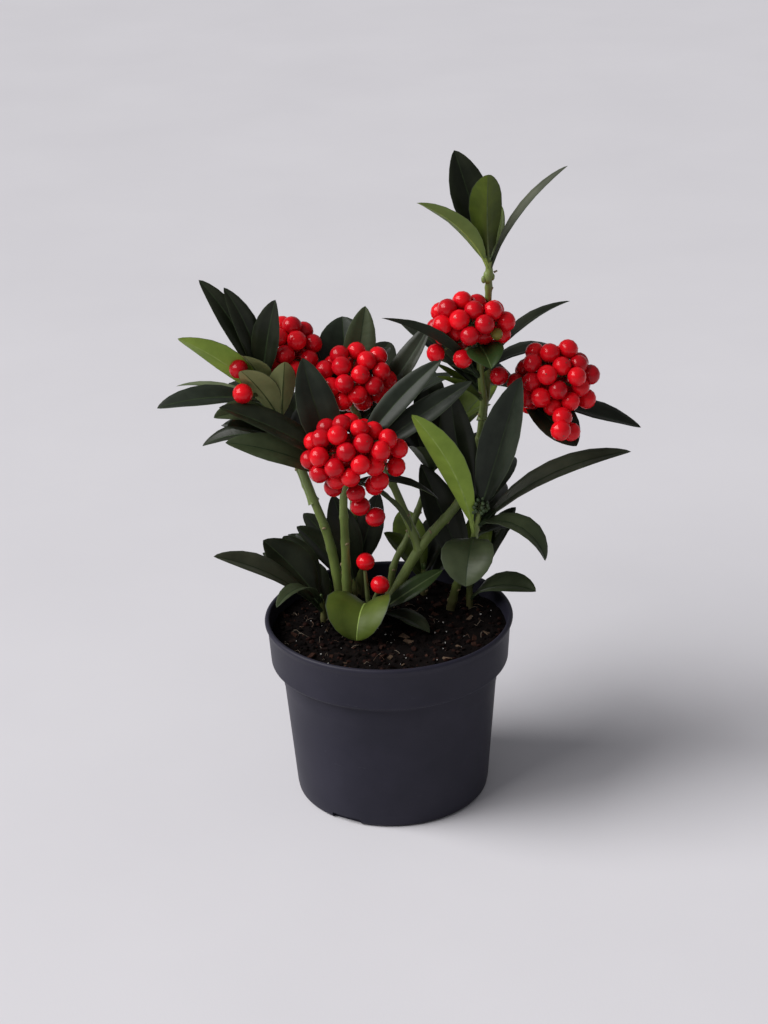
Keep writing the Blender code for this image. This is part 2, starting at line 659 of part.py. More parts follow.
def make_shoot(name, path, plan, collection, finishes):
    """One mass: its stem, with the leaves' roots and the berries' stalks sunk in it, fused into one solid."""
    pieces = new_collection(name + "_pieces")
    stem = tube(name, path, TWIG_RADIUS, TWIG_RADIUS * 0.7, 1, collection, finishes["twig"])
    for index, (leaf, root) in enumerate(plan["leaves"]):
        mesh_object(f"{name}_leaf_{index}", leaf_solid(leaf, root), pieces, finishes["leaf"])
    for truss in SHOOTS[name].trusses:
        mesh_object(f"{name}_rachis", twig_solid(*rachis(path, truss), RACHIS_RADIUS, 4), pieces,
                    finishes["twig"])
    for index, (site, seed, truss) in enumerate(plan["berries"]):
        mesh_object(f"{name}_berry_{index}", berry_solid(site, seed), pieces, finishes["berry"])
        mesh_object(f"{name}_stalk_{index}", twig_solid(*berry_stalk(site, seed, path, truss), STALK_RADIUS),
                    pieces, finishes["twig"])
    faces, dropped = fuse(stem, pieces)
    print(f"{name}: {len(plan['leaves'])} leaves, {len(plan['berries'])} berries, {faces} triangles, "
          f"{dropped} shells dropped")
    return stem


def main():
    clear_scene()
    plant = new_collection("potted_skimmia")
    cutters = new_collection("cutters", helper=True)
    notches = new_collection("notch_cutters", helper=True)
    finishes = {
        "pot": material("pot_plastic", (0.045, 0.048, 0.066), 0.55),
        "compost": material("compost", (0.018, 0.011, 0.008), 0.95),
        "bark": material("green_bark", (0.16, 0.22, 0.07), 0.6),
        "twig": material("green_twig", (0.16, 0.24, 0.06), 0.55),
        "leaf": material("leaf", (0.022, 0.055, 0.02), 0.35),
        "berry": material("berry", (0.75, 0.01, 0.012), 0.3),
    }
    make_pot(plant, notches, finishes["pot"])
    make_compost(plant, finishes["compost"])
    for name, limb in LIMBS.items():
        make_limb(name, limb, plant, cutters, finishes["bark"])
    paths, plan = plan_shoots()
    for name in SHOOTS:
        make_shoot(name, paths[name], plan[name], plant, finishes)


main()
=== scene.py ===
# %% [markdown]
# # Dressing a potted skimmia
#
# A skimmia is a small evergreen shrub. This one stands in a nursery pot: a few green stems rise from dark
# compost, and each carries whorls of leathery leaves round a truss of red berries. The solid model gives
# every limb its place. This lesson grows the fine leaves, berries, bark, soil and plastic over those solids.
#
# The frame comes first, because every new piece is placed by it. Its box is kept, to compare at the end.

import json
import math
import random
from collections import namedtuple

import bmesh
import bpy
from mathutils import Matrix, Vector, noise
from mathutils.bvhtree import BVHTree

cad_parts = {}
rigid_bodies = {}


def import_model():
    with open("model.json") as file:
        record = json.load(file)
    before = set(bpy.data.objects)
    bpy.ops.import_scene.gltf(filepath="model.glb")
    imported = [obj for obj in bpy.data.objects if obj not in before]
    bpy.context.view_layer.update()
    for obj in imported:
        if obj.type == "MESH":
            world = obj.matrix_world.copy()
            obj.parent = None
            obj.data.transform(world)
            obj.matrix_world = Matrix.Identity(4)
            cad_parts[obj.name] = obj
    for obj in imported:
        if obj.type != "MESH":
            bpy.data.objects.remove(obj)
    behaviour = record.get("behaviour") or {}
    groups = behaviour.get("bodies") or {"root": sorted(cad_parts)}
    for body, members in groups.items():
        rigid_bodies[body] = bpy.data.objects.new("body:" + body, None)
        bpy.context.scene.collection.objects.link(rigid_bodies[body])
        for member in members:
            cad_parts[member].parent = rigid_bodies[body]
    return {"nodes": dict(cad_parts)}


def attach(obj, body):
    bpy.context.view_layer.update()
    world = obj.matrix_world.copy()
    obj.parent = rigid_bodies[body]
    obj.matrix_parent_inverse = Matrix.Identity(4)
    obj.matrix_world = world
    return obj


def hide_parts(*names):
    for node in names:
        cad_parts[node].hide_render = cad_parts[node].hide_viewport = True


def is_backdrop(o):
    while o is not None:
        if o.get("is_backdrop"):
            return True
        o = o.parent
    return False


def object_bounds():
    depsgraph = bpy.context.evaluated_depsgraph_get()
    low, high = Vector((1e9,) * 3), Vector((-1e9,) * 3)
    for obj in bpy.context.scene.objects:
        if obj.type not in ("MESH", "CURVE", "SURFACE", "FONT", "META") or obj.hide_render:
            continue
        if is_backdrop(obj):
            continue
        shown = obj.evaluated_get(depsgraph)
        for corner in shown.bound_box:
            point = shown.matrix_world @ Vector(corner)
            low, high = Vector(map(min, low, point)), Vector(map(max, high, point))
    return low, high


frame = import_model()
solid_low, solid_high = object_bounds()
MM = 0.001
print(f"{len(frame['nodes'])} solids, {(solid_high - solid_low).z / MM:.0f} mm tall")

# %% [markdown]
# ## The view
#
# The camera looks down on the plant from above its top, so the rim, the collar and the foot of the pot show
# as ellipses. It is placed by numbers that were worked out from them: its height and distance, its downward
# pitch and a small roll. The lens is a length in pixels turned into millimetres of a 36 mm sensor.

# %% Camera
FOCAL_PIXELS = 2333.97
IMAGE_HEIGHT = 1024
SENSOR = 36.0
CAMERA_PLACE = Vector((-0.00087, -0.96093, 0.56427))
PITCH, ROLL = 0.41736, 0.02809  # radians


def show(name, data):
    """A new object in the scene."""
    made = bpy.data.objects.new(name, data)
    bpy.context.scene.collection.objects.link(made)
    return made


lens = bpy.data.cameras.new("view")
lens.sensor_fit = "VERTICAL"
lens.sensor_height = SENSOR
lens.lens = FOCAL_PIXELS * SENSOR / IMAGE_HEIGHT
camera = show("view", lens)
camera.matrix_world = (
    Matrix.Translation(CAMERA_PLACE)
    @ Matrix.Rotation(math.pi / 2 - PITCH, 4, "X")
    @ Matrix.Rotation(-ROLL, 4, "Z")
)
bpy.context.scene.camera = camera
print(f"a {lens.lens:.0f} mm lens, {CAMERA_PLACE.length:.2f} m from the pot")

# %% [markdown]
# ## Light and floor
#
# Glossy leaves and berries show their shape by what they mirror, so the light has to be large and soft. A
# sun with a very wide disc stands high on the left, a small window-like panel adds a highlight in front of
# it, and a pale grey sky fills the shadows. The floor is one plain pale plane past the edges of the view.

# %% Lights
AIM = Vector((0.0, 0.0, 0.16))
SUN_DISC = 0.7  # radians across
SUN_STRENGTH = 3.35
WINDOW_SIDE, WINDOW_WATTS = 0.45, 5.0
SKY_COLOUR, SKY_STRENGTH = (0.86, 0.86, 0.89, 1.0), 0.28


def lamp(name, kind, place, energy, colour):
    """A lamp at a place, turned towards the plant."""
    light = bpy.data.lights.new(name, kind)
    light.energy = energy
    light.color = colour
    holder = show(name, light)
    holder.location = place
    holder.rotation_euler = (AIM - Vector(place)).to_track_quat("-Z", "Y").to_euler()
    return light


lamp("sun", "SUN", (-1.15, -0.15, 1.15), SUN_STRENGTH, (1.0, 0.99, 0.98)).angle = SUN_DISC
lamp("window", "AREA", (-0.85, -0.85, 1.15), WINDOW_WATTS, (1.0, 0.98, 0.96)).size = WINDOW_SIDE

sky = bpy.data.worlds.new("pale_sky")
sky.use_nodes = True
sky.node_tree.nodes["Background"].inputs["Color"].default_value = SKY_COLOUR
sky.node_tree.nodes["Background"].inputs["Strength"].default_value = SKY_STRENGTH
bpy.context.scene.world = sky
bpy.context.scene.view_settings.view_transform = "Standard"
print("a wide sun, a window and a pale sky")

# %% [markdown]
# Every finish below starts from one Principled shader. A pattern is read from Object coordinates, so it
# stays put on the piece. The first helpers add the nodes that patterns are made of: a place to read from, a
# soft noise, a ramp that turns a factor into a colour, and a bump that roughens the surface.

# %% Helpers for patterns
def node(tree, kind, **inputs):
    """A new shader node, with its input sockets set by name."""
    made = tree.nodes.new(kind)
    for name, value in inputs.items():
        made.inputs[name.replace("_", " ")].default_value = value
    return made


def place_of(tree, stretch=(1, 1, 1)):
    """Object coordinates, stretched along each axis, as a socket."""
    where = node(tree, "ShaderNodeTexCoord")
    turn = node(tree, "ShaderNodeMapping", Scale=stretch)
    tree.links.new(where.outputs["Object"], turn.inputs["Vector"])
    return turn.outputs["Vector"]


def clouds(tree, vector, scale, detail=4.0, roughness=0.55):
    """A soft noise factor; scale is how many lumps there are to a metre."""
    made = node(tree, "ShaderNodeTexNoise", Scale=scale, Detail=detail, Roughness=roughness)
    tree.links.new(vector, made.inputs["Vector"])
    return made.outputs["Fac"]


def ramp(tree, source, stops):
    """A colour ramp read from a factor; stops are (place, colour)."""
    made = tree.nodes.new("ShaderNodeValToRGB")
    bands = made.color_ramp.elements
    while len(bands) < len(stops):
        bands.new(0.5)
    for band, (place, colour) in zip(bands, stops):
        band.position = place
        band.color = (*colour, 1.0)
    tree.links.new(source, made.inputs["Fac"])
    return made.outputs["Color"]


def bump(tree, shader, height, strength, depth):
    """Roughens the shader's surface by a height, in metres."""
    made = node(tree, "ShaderNodeBump", Strength=strength, Distance=depth)
    tree.links.new(height, made.inputs["Height"])
    tree.links.new(made.outputs["Normal"], shader.inputs["Normal"])


print("patterns have places, clouds, ramps and bumps")

# %% [markdown]
# A finish drifts between two tones with a soft noise and has a fine grain. A number that is the same all
# over goes straight on the shader's own socket. The floor is the first thing to wear one: a plane wide
# enough to pass the edges of the view, and declared as stage, since it isn't part of the plant.

# %% A helper for finishes, and the floor
FLOOR_HALF = 30.0  # metres


def finish(name, dark, light, roughness, lumps, grain, depth, stretch=(1, 1, 1), **sockets):
    """A finish that drifts from dark to light. Lumps and grain are so many to a metre, depth is the
    grain's height in metres, and stretch draws the pattern out along each axis."""
    made = bpy.data.materials.new(name)
    made.use_nodes = True
    tree = made.node_tree
    shader = tree.nodes["Principled BSDF"]
    shader.inputs["Roughness"].default_value = roughness
    for socket, value in sockets.items():
        shader.inputs[socket.replace("_", " ")].default_value = value
    vector = place_of(tree, stretch)
    colour = ramp(tree, clouds(tree, vector, lumps), [(0.3, dark), (0.7, light)])
    tree.links.new(colour, shader.inputs["Base Color"])
    bump(tree, shader, clouds(tree, vector, grain, 2.0), 0.6, depth)
    return made


floor_shape = bmesh.new()
bmesh.ops.create_grid(floor_shape, x_segments=1, y_segments=1, size=FLOOR_HALF)
floor_mesh = bpy.data.meshes.new("floor")
floor_shape.to_mesh(floor_mesh)
floor_shape.free()
floor_mesh.materials.append(finish("pale_floor", (0.640, 0.630, 0.665), (0.665, 0.655, 0.690), 0.8, 6.0,
                                   900.0, 0.00005, Specular_IOR_Level=0.1))
show("floor", floor_mesh)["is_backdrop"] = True
print("a plain pale floor")

# %% [markdown]
# ## Small tools for pieces
#
# Every piece is worked in millimetres in a bmesh and scaled to metres when it becomes an object at the
# origin. Many small shapes, such as leaves, are joined into one mesh: each keeps its own numbers for which
# finish its faces take.

# %% Join shapes and make a piece
def join(shapes):
    """One bmesh that holds all the shapes; the shapes are freed."""
    joined = bmesh.new()
    carrier = bpy.data.meshes.new("carrier")
    for shape in shapes:
        shape.to_mesh(carrier)
        joined.from_mesh(carrier)
        shape.free()
    bpy.data.meshes.remove(carrier)
    return joined


def make_piece(name, shape, finishes, nodes, sharp=60):
    """Turns a bmesh in millimetres into a piece that rides on the plant and stands for its nodes. Edges
    over so many degrees stay sharp."""
    bmesh.ops.scale(shape, vec=(MM, MM, MM), verts=shape.verts)
    mesh = bpy.data.meshes.new(name)
    shape.to_mesh(mesh)
    shape.free()
    for each in finishes:
        mesh.materials.append(each)
    mesh.shade_smooth()
    mesh.set_sharp_from_angle(angle=math.radians(sharp))
    piece = show(name, mesh)
    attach(piece, "root")
    if nodes:
        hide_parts(*nodes)
    print(f"{name}: {sum(len(p.vertices) - 2 for p in mesh.polygons)} triangles")


print("shapes are joined, and every piece says what it stands for")

# %% [markdown]
# ## The pot
#
# A nursery pot is thin moulded plastic: a rolled rim, a straight collar, a rounded shoulder under it, a body
# that narrows to the foot, and small arches cut in the foot so that water can leave. Its outline keeps the
# solid model's own sizes.

# %% Pot outline
POT_HEIGHT = 87.4
RIM_RADIUS = 57.0
COLLAR_RADIUS = 54.4
COLLAR_FOOT = 66.0
SHOULDER_RADIUS = 49.6
SHOULDER_FOOT = 61.5
FOOT_RADIUS = 44.6
FOOT_ROUND = 2.4
WALL = 1.3
FLOOR = 2.0
LIP = WALL * 0.9
POT_STEPS = 128


def arc(centre, radius, start, end, steps):
    """Points (radius, height) of an arc from start to end, in degrees."""
    angles = [math.radians(start + (end - start) * i / steps) for i in range(steps + 1)]
    return [(centre[0] + radius * math.cos(a), centre[1] + radius * math.sin(a)) for a in angles]


def body_radius(height):
    """Outside radius of the body below its shoulder."""
    return FOOT_RADIUS + (SHOULDER_RADIUS - FOOT_RADIUS) * height / SHOULDER_FOOT


outline = [(0.0, FLOOR), (FOOT_RADIUS - WALL - 1.0, FLOOR)]
outline += [(body_radius(height) - WALL, height) for height in (FLOOR + 1, 20, 40, SHOULDER_FOOT)]
outline += [(COLLAR_RADIUS - WALL, COLLAR_FOOT + WALL)]
outline += arc((RIM_RADIUS - LIP, POT_HEIGHT - LIP), LIP, 180, -40, 10)
outline += [(RIM_RADIUS - 0.9, POT_HEIGHT - 3.6), (RIM_RADIUS - 1.3, POT_HEIGHT - 4.4)]
outline += [(COLLAR_RADIUS + 0.35, COLLAR_FOOT + 2.4)]
outline += arc((COLLAR_RADIUS - 1.2, COLLAR_FOOT + 1.5), 1.5, 0, -80, 5)
outline += arc((SHOULDER_RADIUS + 2.4, SHOULDER_FOOT + 1.4), 2.2, 100, 180, 5)
outline += [(body_radius(56.0) + 0.25, 56.0), (body_radius(55.2), 55.2)]
outline += [(body_radius(height), height) for height in (40, 20, 8, 4)]
outline += arc((FOOT_RADIUS - FOOT_ROUND, FOOT_ROUND), FOOT_ROUND, 0, -90, 6)
outline += [(0.0, 0.0)]
print(f"the pot's outline has {len(outline)} points")

# %% [markdown]
# The outline is spun once round the middle, as the real mould was turned. A spin leaves doubles where its
# ends meet, so they are merged, and the faces are turned outwards.

# %% Spin the pot
def closed(shape):
    """Merges a shape's doubles, then turns its faces outwards."""
    bmesh.ops.remove_doubles(shape, verts=shape.verts, dist=0.001)
    bmesh.ops.recalc_face_normals(shape, faces=shape.faces)
    return shape


def spun(outline, steps):
    """A closed shape from an outline of (radius, height) points that starts and ends in the middle."""
    shape = bmesh.new()
    points = [shape.verts.new((radius, 0, height)) for radius, height in outline]
    edges = [shape.edges.new(pair) for pair in zip(points, points[1:])]
    bmesh.ops.spin(shape, geom=points + edges, cent=(0, 0, 0), axis=(0, 0, 1), dvec=(0, 0, 0),
                   angle=math.tau, steps=steps, use_merge=True, use_duplicate=False)
    return closed(shape)


pot_whole = spun(outline, POT_STEPS)
print(f"the turned pot has {len(pot_whole.faces)} faces")

# %% [markdown]
# Each arch starts as a cube whose two upper long edges are bevelled. The arches are taken out of the foot
# together, by one Boolean, which is applied at once by keeping the mesh that it gives.

# %% Arches in the foot
NOTCHES = 3
NOTCH_WIDTH, NOTCH_HEIGHT, NOTCH_DEPTH = 15.0, 3.2, 6.0
NOTCH_ROUND = 0.8


def foot_arch(turn):
    """A block with a rounded top that stands across the foot."""
    arch = bmesh.new()
    bmesh.ops.create_cube(arch, size=1.0)
    top_edges = [e for e in arch.edges
                 if all(v.co.z > 0 for v in e.verts) and e.verts[0].co.y == e.verts[1].co.y]
    bmesh.ops.scale(arch, vec=(NOTCH_DEPTH, NOTCH_WIDTH, 2 * NOTCH_HEIGHT), verts=arch.verts)
    bmesh.ops.bevel(arch, geom=top_edges, offset=NOTCH_ROUND, offset_type="OFFSET", affect="EDGES",
                    segments=3, profile=0.5, material=-1)
    bmesh.ops.translate(arch, vec=(FOOT_RADIUS, 0, 0), verts=arch.verts)
    bmesh.ops.rotate(arch, cent=(0, 0, 0), matrix=Matrix.Rotation(turn, 3, "Z"), verts=arch.verts)
    return arch


def cut_away(shape, cutters):
    """The shape less its cutters, by one exact Boolean."""
    objects = []
    for name, each in (("whole", shape), ("cutters", join(cutters))):
        mesh = bpy.data.meshes.new(name)
        each.to_mesh(mesh)
        each.free()
        objects.append(show(name, mesh))
    cut = objects[0].modifiers.new("cut", "BOOLEAN")
    cut.operation = "DIFFERENCE"
    cut.solver = "EXACT"
    cut.object = objects[1]
    graph = bpy.context.evaluated_depsgraph_get()
    result = bmesh.new()
    result.from_mesh(bpy.data.meshes.new_from_object(objects[0].evaluated_get(graph)))
    for each in objects:
        bpy.data.objects.remove(each, do_unlink=True)
    return result


arches = [foot_arch(math.tau * index / NOTCHES) for index in range(NOTCHES)]
pot_shape = cut_away(pot_whole, arches)
print(f"{NOTCHES} arches in the pot's foot")

# %% [markdown]
# The plastic is a dark purplish grey with a dull skin. Handling leaves faint pale scuffs that run round the
# pot. They are a veil: a colour laid over what the finish already shows, by a factor. The factor is a noise
# drawn out sideways, and a ramp between two greys lets only its peaks through.

# %% Pot finish
def grey_ramp(tree, source, start, end):
    """A ramp between two greys; start and end are (place, grey)."""
    return ramp(tree, source, [(place, (grey, grey, grey)) for place, grey in (start, end)])


def veil(made, factor, over):
    """Lays a plain colour over what a finish shows, by a factor."""
    tree = made.node_tree
    base = tree.nodes["Principled BSDF"].inputs["Base Color"]
    mix = tree.nodes.new("ShaderNodeMix")
    mix.data_type = "RGBA"
    sockets = {socket.identifier: socket for socket in mix.inputs}
    tree.links.new(factor, sockets["Factor_Float"])
    tree.links.new(base.links[0].from_socket, sockets["A_Color"])
    sockets["B_Color"].default_value = (*over, 1.0)
    result = next(socket for socket in mix.outputs if socket.identifier == "Result_Color")
    tree.links.new(result, base)


POT_DARK, POT_LIGHT, POT_SCUFF = (0.0150, 0.0145, 0.0250), (0.0210, 0.0200, 0.0330), (0.11, 0.11, 0.13)

plastic = finish("pot_plastic", POT_DARK, POT_LIGHT, 0.5, 45.0, 2600.0, 0.00006, Specular_IOR_Level=0.2)
scratches = clouds(plastic.node_tree, place_of(plastic.node_tree, (1.0, 1.0, 5.0)), 140.0, 6.0, 0.7)
veil(plastic, grey_ramp(plastic.node_tree, scratches, (0.66, 0.0), (0.78, 0.5)), POT_SCUFF)
make_piece("pot_moulded", pot_shape, [plastic], ["pot"], 35)

# %% [markdown]
# ## The compost
#
# The soil is a shallow, crumbly surface that reaches from wall to wall just under the rim. It starts as a
# disc spun from one spoke, which gives it rings to push up and down with noise.

# %% Soil surface
COMPOST_TOP = 79.0
SOIL_RADIUS = 54.6
SOIL_DEPTH = 9.0
SPOKE_POINTS, SPOKES = 44, 120


def soil_height(x, y):
    """Height of the crumbly surface in millimetres."""
    broad = noise.noise(Vector((x, y, 3.0)) * 0.045) * 1.5
    crumb = noise.noise(Vector((x, y, 7.0)) * 0.30) * 1.4
    fine = noise.noise(Vector((x, y, 11.0)) * 1.1) * 0.5
    return COMPOST_TOP + 0.4 + broad + crumb + fine


def soil_finish(name, dark, light, roughness=0.85, lumps=900.0, grain=3000.0, depth=0.0002):
    """The dull finish of anything dark that lies in the soil."""
    return finish(name, dark, light, roughness, lumps, grain, depth, Specular_IOR_Level=0.08)


spoke = [(SOIL_RADIUS * i / SPOKE_POINTS, COMPOST_TOP) for i in range(SPOKE_POINTS + 1)]
spoke += [(SOIL_RADIUS - 1.0, COMPOST_TOP - SOIL_DEPTH), (0, COMPOST_TOP - SOIL_DEPTH)]
soil_shape = spun(spoke, SPOKES)
for vert in soil_shape.verts:
    if vert.co.z > COMPOST_TOP - 1:
        vert.co.z = soil_height(vert.co.x, vert.co.y)
bmesh.ops.recalc_face_normals(soil_shape, faces=soil_shape.faces)
peat = soil_finish("dark_peat", (0.0012, 0.0009, 0.0010), (0.0060, 0.0036, 0.0032), 0.95, 380.0, 1800.0,
                   0.0008)
make_piece("compost_surface", soil_shape, [peat], ["compost"], 80)

# %% [markdown]
# Real compost is a mix: dark crumbs of peat, flakes of bark, pale roots and straw, and grains of white grit.
# Each kind is scattered by a seeded throw of dice and joined into one piece. The dice choose where a grain
# lies and how it is turned.

# %% Dice for the soil
dice = random.Random("compost")


def soil_spot(edge=1.5, above=0.0):
    """A place on the soil, evenly spread over its disc as far as a distance from its edge."""
    far, angle = (SOIL_RADIUS - edge) * math.sqrt(dice.random()), dice.uniform(0, math.tau)
    x, y = far * math.cos(angle), far * math.sin(angle)
    return Vector((x, y, soil_height(x, y))) + Vector((0, 0, above))


def any_turn():
    """A turn for a grain that may lie any way up."""
    around, over = dice.uniform(0, math.tau), dice.uniform(0, math.tau)
    return Matrix.Rotation(around, 3, "X") @ Matrix.Rotation(over, 3, "Z")


print(f"the soil is {2 * SOIL_RADIUS:.0f} mm wide")

# %% [markdown]
# A crumb is a small ball, flattened and turned. Most are peat, and the rest are brown. Small ones are far
# more common than large ones, so the dice's throw is cubed.

# %% Crumbs
CRUMBS = 2000
PEAT_SHARE = 0.72  # of the crumbs are peat, and the rest are brown


def paint(shape, number):
    """Gives every face of a shape the finish with this number."""
    for face in shape.faces:
        face.material_index = number
    return shape


def set_down(shape, middle, turn):
    """Turns a shape about the origin, if there is a turn, and moves it to its place."""
    if turn is not None:
        bmesh.ops.rotate(shape, cent=(0, 0, 0), matrix=turn, verts=shape.verts)
    bmesh.ops.translate(shape, vec=middle, verts=shape.verts)
    return shape


def lump(middle, size, turn=None, detail=1):
    """A rounded grain of the given half sizes."""
    shape = bmesh.new()
    bmesh.ops.create_icosphere(shape, subdivisions=detail, radius=1)
    bmesh.ops.scale(shape, vec=size, verts=shape.verts)
    return set_down(shape, middle, turn)


crumbs = []
for _ in range(CRUMBS):
    size = 0.3 + 1.6 * dice.random() ** 3
    spot = soil_spot()
    crumb = lump(spot, (size, size * dice.uniform(0.6, 1), size * dice.uniform(0.5, 0.9)), any_turn())
    crumbs.append(paint(crumb, 0 if dice.random() < PEAT_SHARE else 1))
brown = soil_finish("brown_crumb", (0.0075, 0.0030, 0.0026), (0.024, 0.0090, 0.0064), 0.9, 500.0, 2500.0)
make_piece("compost_crumbs", join(crumbs), [peat, brown], [], 20)

# %% [markdown]
# Flakes of bark are thin boxes. The dice push their corners about, so no two are alike, and none of them
# stands up steeply.

# %% Flakes of bark
CHIPS = 110
CHIP_KINDS = (0, 0, 0, 0, 1, 1, 2)  # mostly dark, some red and a few pale

chips = []
for _ in range(CHIPS):
    chip = bmesh.new()
    bmesh.ops.create_cube(chip, size=1.0)
    long_side = dice.uniform(1.2, 4.6)
    size = (long_side, long_side * dice.uniform(0.25, 0.7), dice.uniform(0.3, 0.9))
    bmesh.ops.scale(chip, vec=size, verts=chip.verts)
    for vert in chip.verts:
        vert.co += Vector([dice.uniform(-0.18, 0.18) for _ in range(3)]) * long_side * 0.5
    around, tilt = dice.uniform(0, math.tau), dice.uniform(-0.5, 0.5)
    lie = Matrix.Rotation(around, 3, "Z") @ Matrix.Rotation(tilt, 3, "X")
    set_down(chip, soil_spot(above=0.3), lie)
    chips.append(paint(chip, dice.choice(CHIP_KINDS)))
barks = [
    soil_finish("bark_chip_dark", (0.0060, 0.0034, 0.0030), (0.018, 0.0092, 0.0072)),
    soil_finish("bark_chip_red", (0.018, 0.0078, 0.0054), (0.042, 0.018, 0.012)),
    soil_finish("bark_chip_pale", (0.060, 0.038, 0.025), (0.12, 0.082, 0.055), 0.8),
]
make_piece("compost_bark_chips", join(chips), barks, [], 40)

# %% [markdown]
# Roots and straw are thin limbs, and the stems will be thick ones. A limb starts as a bar: a cone primitive
# whose long edges are cut into rings. The rings are carried along a path, and each is turned no more than
# the path itself, so the limb doesn't twist.

# %% Bars and limbs
def bar(sides, rings):
    """An upright closed bar, with the number of the ring that each of its vertices is in."""
    shape = bmesh.new()
    bmesh.ops.create_cone(shape, cap_ends=True, segments=sides, radius1=1, radius2=1, depth=1)
    if rings > 2:
        long_edges = [e for e in shape.edges if abs(e.verts[0].co.z - e.verts[1].co.z) > 0.5]
        bmesh.ops.subdivide_edges(shape, edges=long_edges, cuts=rings - 2)
    return shape, [round((vert.co.z + 0.5) * (rings - 1)) for vert in shape.verts]


def swept(path, radii, sides, relief=None):
    """A closed limb along a path. Relief, if given, turns a ring's share of the length and a direction into
    extra millimetres of radius."""
    along = (path[1] - path[0]).normalized()
    right = along.orthogonal().normalized()
    frames = []
    for index in range(len(path)):
        ahead = (path[min(index + 1, len(path) - 1)] - path[max(index - 1, 0)]).normalized()
        right = along.rotation_difference(ahead) @ right
        along = ahead
        frames.append((right, along.cross(right)))
    shape, rings = bar(sides, len(path))
    for vert, ring in zip(shape.verts, rings):
        across, over = frames[ring]
        outward = across * vert.co.x + over * vert.co.y
        extra = relief(ring / (len(path) - 1), outward) if relief else 0.0
        vert.co = path[ring] + outward * (radii[ring] + extra)
    bmesh.ops.recalc_face_normals(shape, faces=shape.faces)
    return shape


print("bars are carried along paths")

# %% [markdown]
# A fibre bends to one side and humps over the soil. None is thicker than about a quarter of a millimetre,
# which is enough to catch the light against dark peat.

# %% Fibres
FIBRES = 60
FIBRE_STEPS = 4
STRAW_SHARE = 0.6

fibres = []
for _ in range(FIBRES):
    start, heading = soil_spot(6), dice.uniform(0, math.tau)
    reach, bend = dice.uniform(1.0, 5.5), dice.uniform(-1.2, 1.2)
    path = []
    for step in range(FIBRE_STEPS + 1):
        share = step / FIBRE_STEPS
        turn = heading + bend * share
        x = start.x + reach * share * math.cos(turn)
        y = start.y + reach * share * math.sin(turn)
        hump = 0.5 + 0.9 * math.sin(math.pi * share) * (1 + bend)
        path.append(Vector((x, y, soil_height(x, y) + hump)))
    thin = dice.uniform(0.06, 0.13)
    fibres.append(paint(swept(path, [thin] * len(path), 4), 0 if dice.random() < STRAW_SHARE else 1))
straw = finish("pale_fibre", (0.12, 0.092, 0.066), (0.22, 0.175, 0.13), 0.8, 600.0, 3000.0, 0.0001)
root_brown = finish("brown_fibre", (0.07, 0.036, 0.022), (0.14, 0.078, 0.045), 0.8, 600.0, 3000.0, 0.0001)
make_piece("compost_fibres", join(fibres), [straw, root_brown], [], 80)

# %% [markdown]
# Grit is the brightest thing in the soil, so a few dozen small grains are enough to be noticed.

# %% Grit
GRAINS = 80

grains = []
for _ in range(GRAINS):
    size = 0.2 + 0.4 * dice.random() ** 2
    grains.append(lump(soil_spot(above=0.35), (size, size * 0.8, size * 0.7), any_turn()))
grit = finish("pale_grit", (0.26, 0.25, 0.24), (0.46, 0.45, 0.43), 0.75, 800.0, 3000.0, 0.0001)
make_piece("compost_grit", join(grains), [grit], [], 50)

# %% [markdown]
# ## The plant's own rule
#
# The solid model grows by a rule, written again here so that the fine plant takes the same places. Each limb
# is a smooth curve through a few points. Each shoot carries leaves, which are given by their heading, rise,
# length, width, bend and roll, and trusses of berries. What the rows leave open is filled by leaves at the
# golden angle, from dice that are seeded by the shoot's name. A leaf or berry that would touch a limb or
# another shoot is turned a little, or left out.

# %% Rows of limbs
GAP = 0.3  # between a limb and what carries it
SOIL = COMPOST_TOP + GAP

# One limb: its points, its radius at the foot and at the tip, and the limb whose side it leaves from
Limb = namedtuple("Limb", "points foot tip parent")

LIMBS = {
    "stem_left": Limb([(-21, 18, SOIL), (-26, 15, 116), (-33, 12, 141), (-38, 12, 157)], 2.5, 1.8, None),
    "stem_middle": Limb([(-19, 12, SOIL), (-19, 9, 118), (-19, 2, 143), (-18, 0, 150)], 2.3, 1.8, None),
    "stem_right": Limb(
        [(-3, 15, SOIL), (15, 16, 112), (32, 12, 135), (39, 12, 149), (43, 10, 168), (45, 10, 185)],
        2.5, 1.8, None,
    ),
    "stem_far_right": Limb([(29, 19, SOIL), (32, 16, 93), (37, 6, 109), (39, 2, 118)], 2.1, 1.7, None),
    "stem_back_right": Limb([(0, 24, SOIL), (3, 26, 99), (11, 29, 115), (20, 34, 138)], 1.8, 1.4, None),
    "stem_back": Limb([(-12, 34, SOIL), (-15, 40, 118), (-13, 44, 142), (-12, 47, 156)], 2.2, 1.7, None),
    "bough_left": Limb([(-33, 12, 138), (-38, 17, 150), (-42, 22, 160)], 1.5, 1.2, "stem_left"),
    "bough_centre": Limb([(15, 16, 112), (9, 17, 129), (4, 17, 143), (-4, 19, 161), (-10, 21, 172)], 2.0, 1.6,
                         "stem_right"),
    "bough_right": Limb([(43, 10, 168), (52, 12, 179), (60, 13, 186)], 1.6, 1.3, "stem_right"),
    "bough_top": Limb([(44, 10, 177), (47, 18, 192), (47, 18, 214), (48, 13, 245)], 1.7, 1.5, "stem_right"),
}

print(f"{len(LIMBS)} limbs are listed")

# %% [markdown]
# The rows of a shoot name the leaves that can be told apart. Angles are in degrees: a heading of 0 points to
# the right, 90 to the back and -90 to the front. The last numbers of a row ask for leaves where none are
# listed.

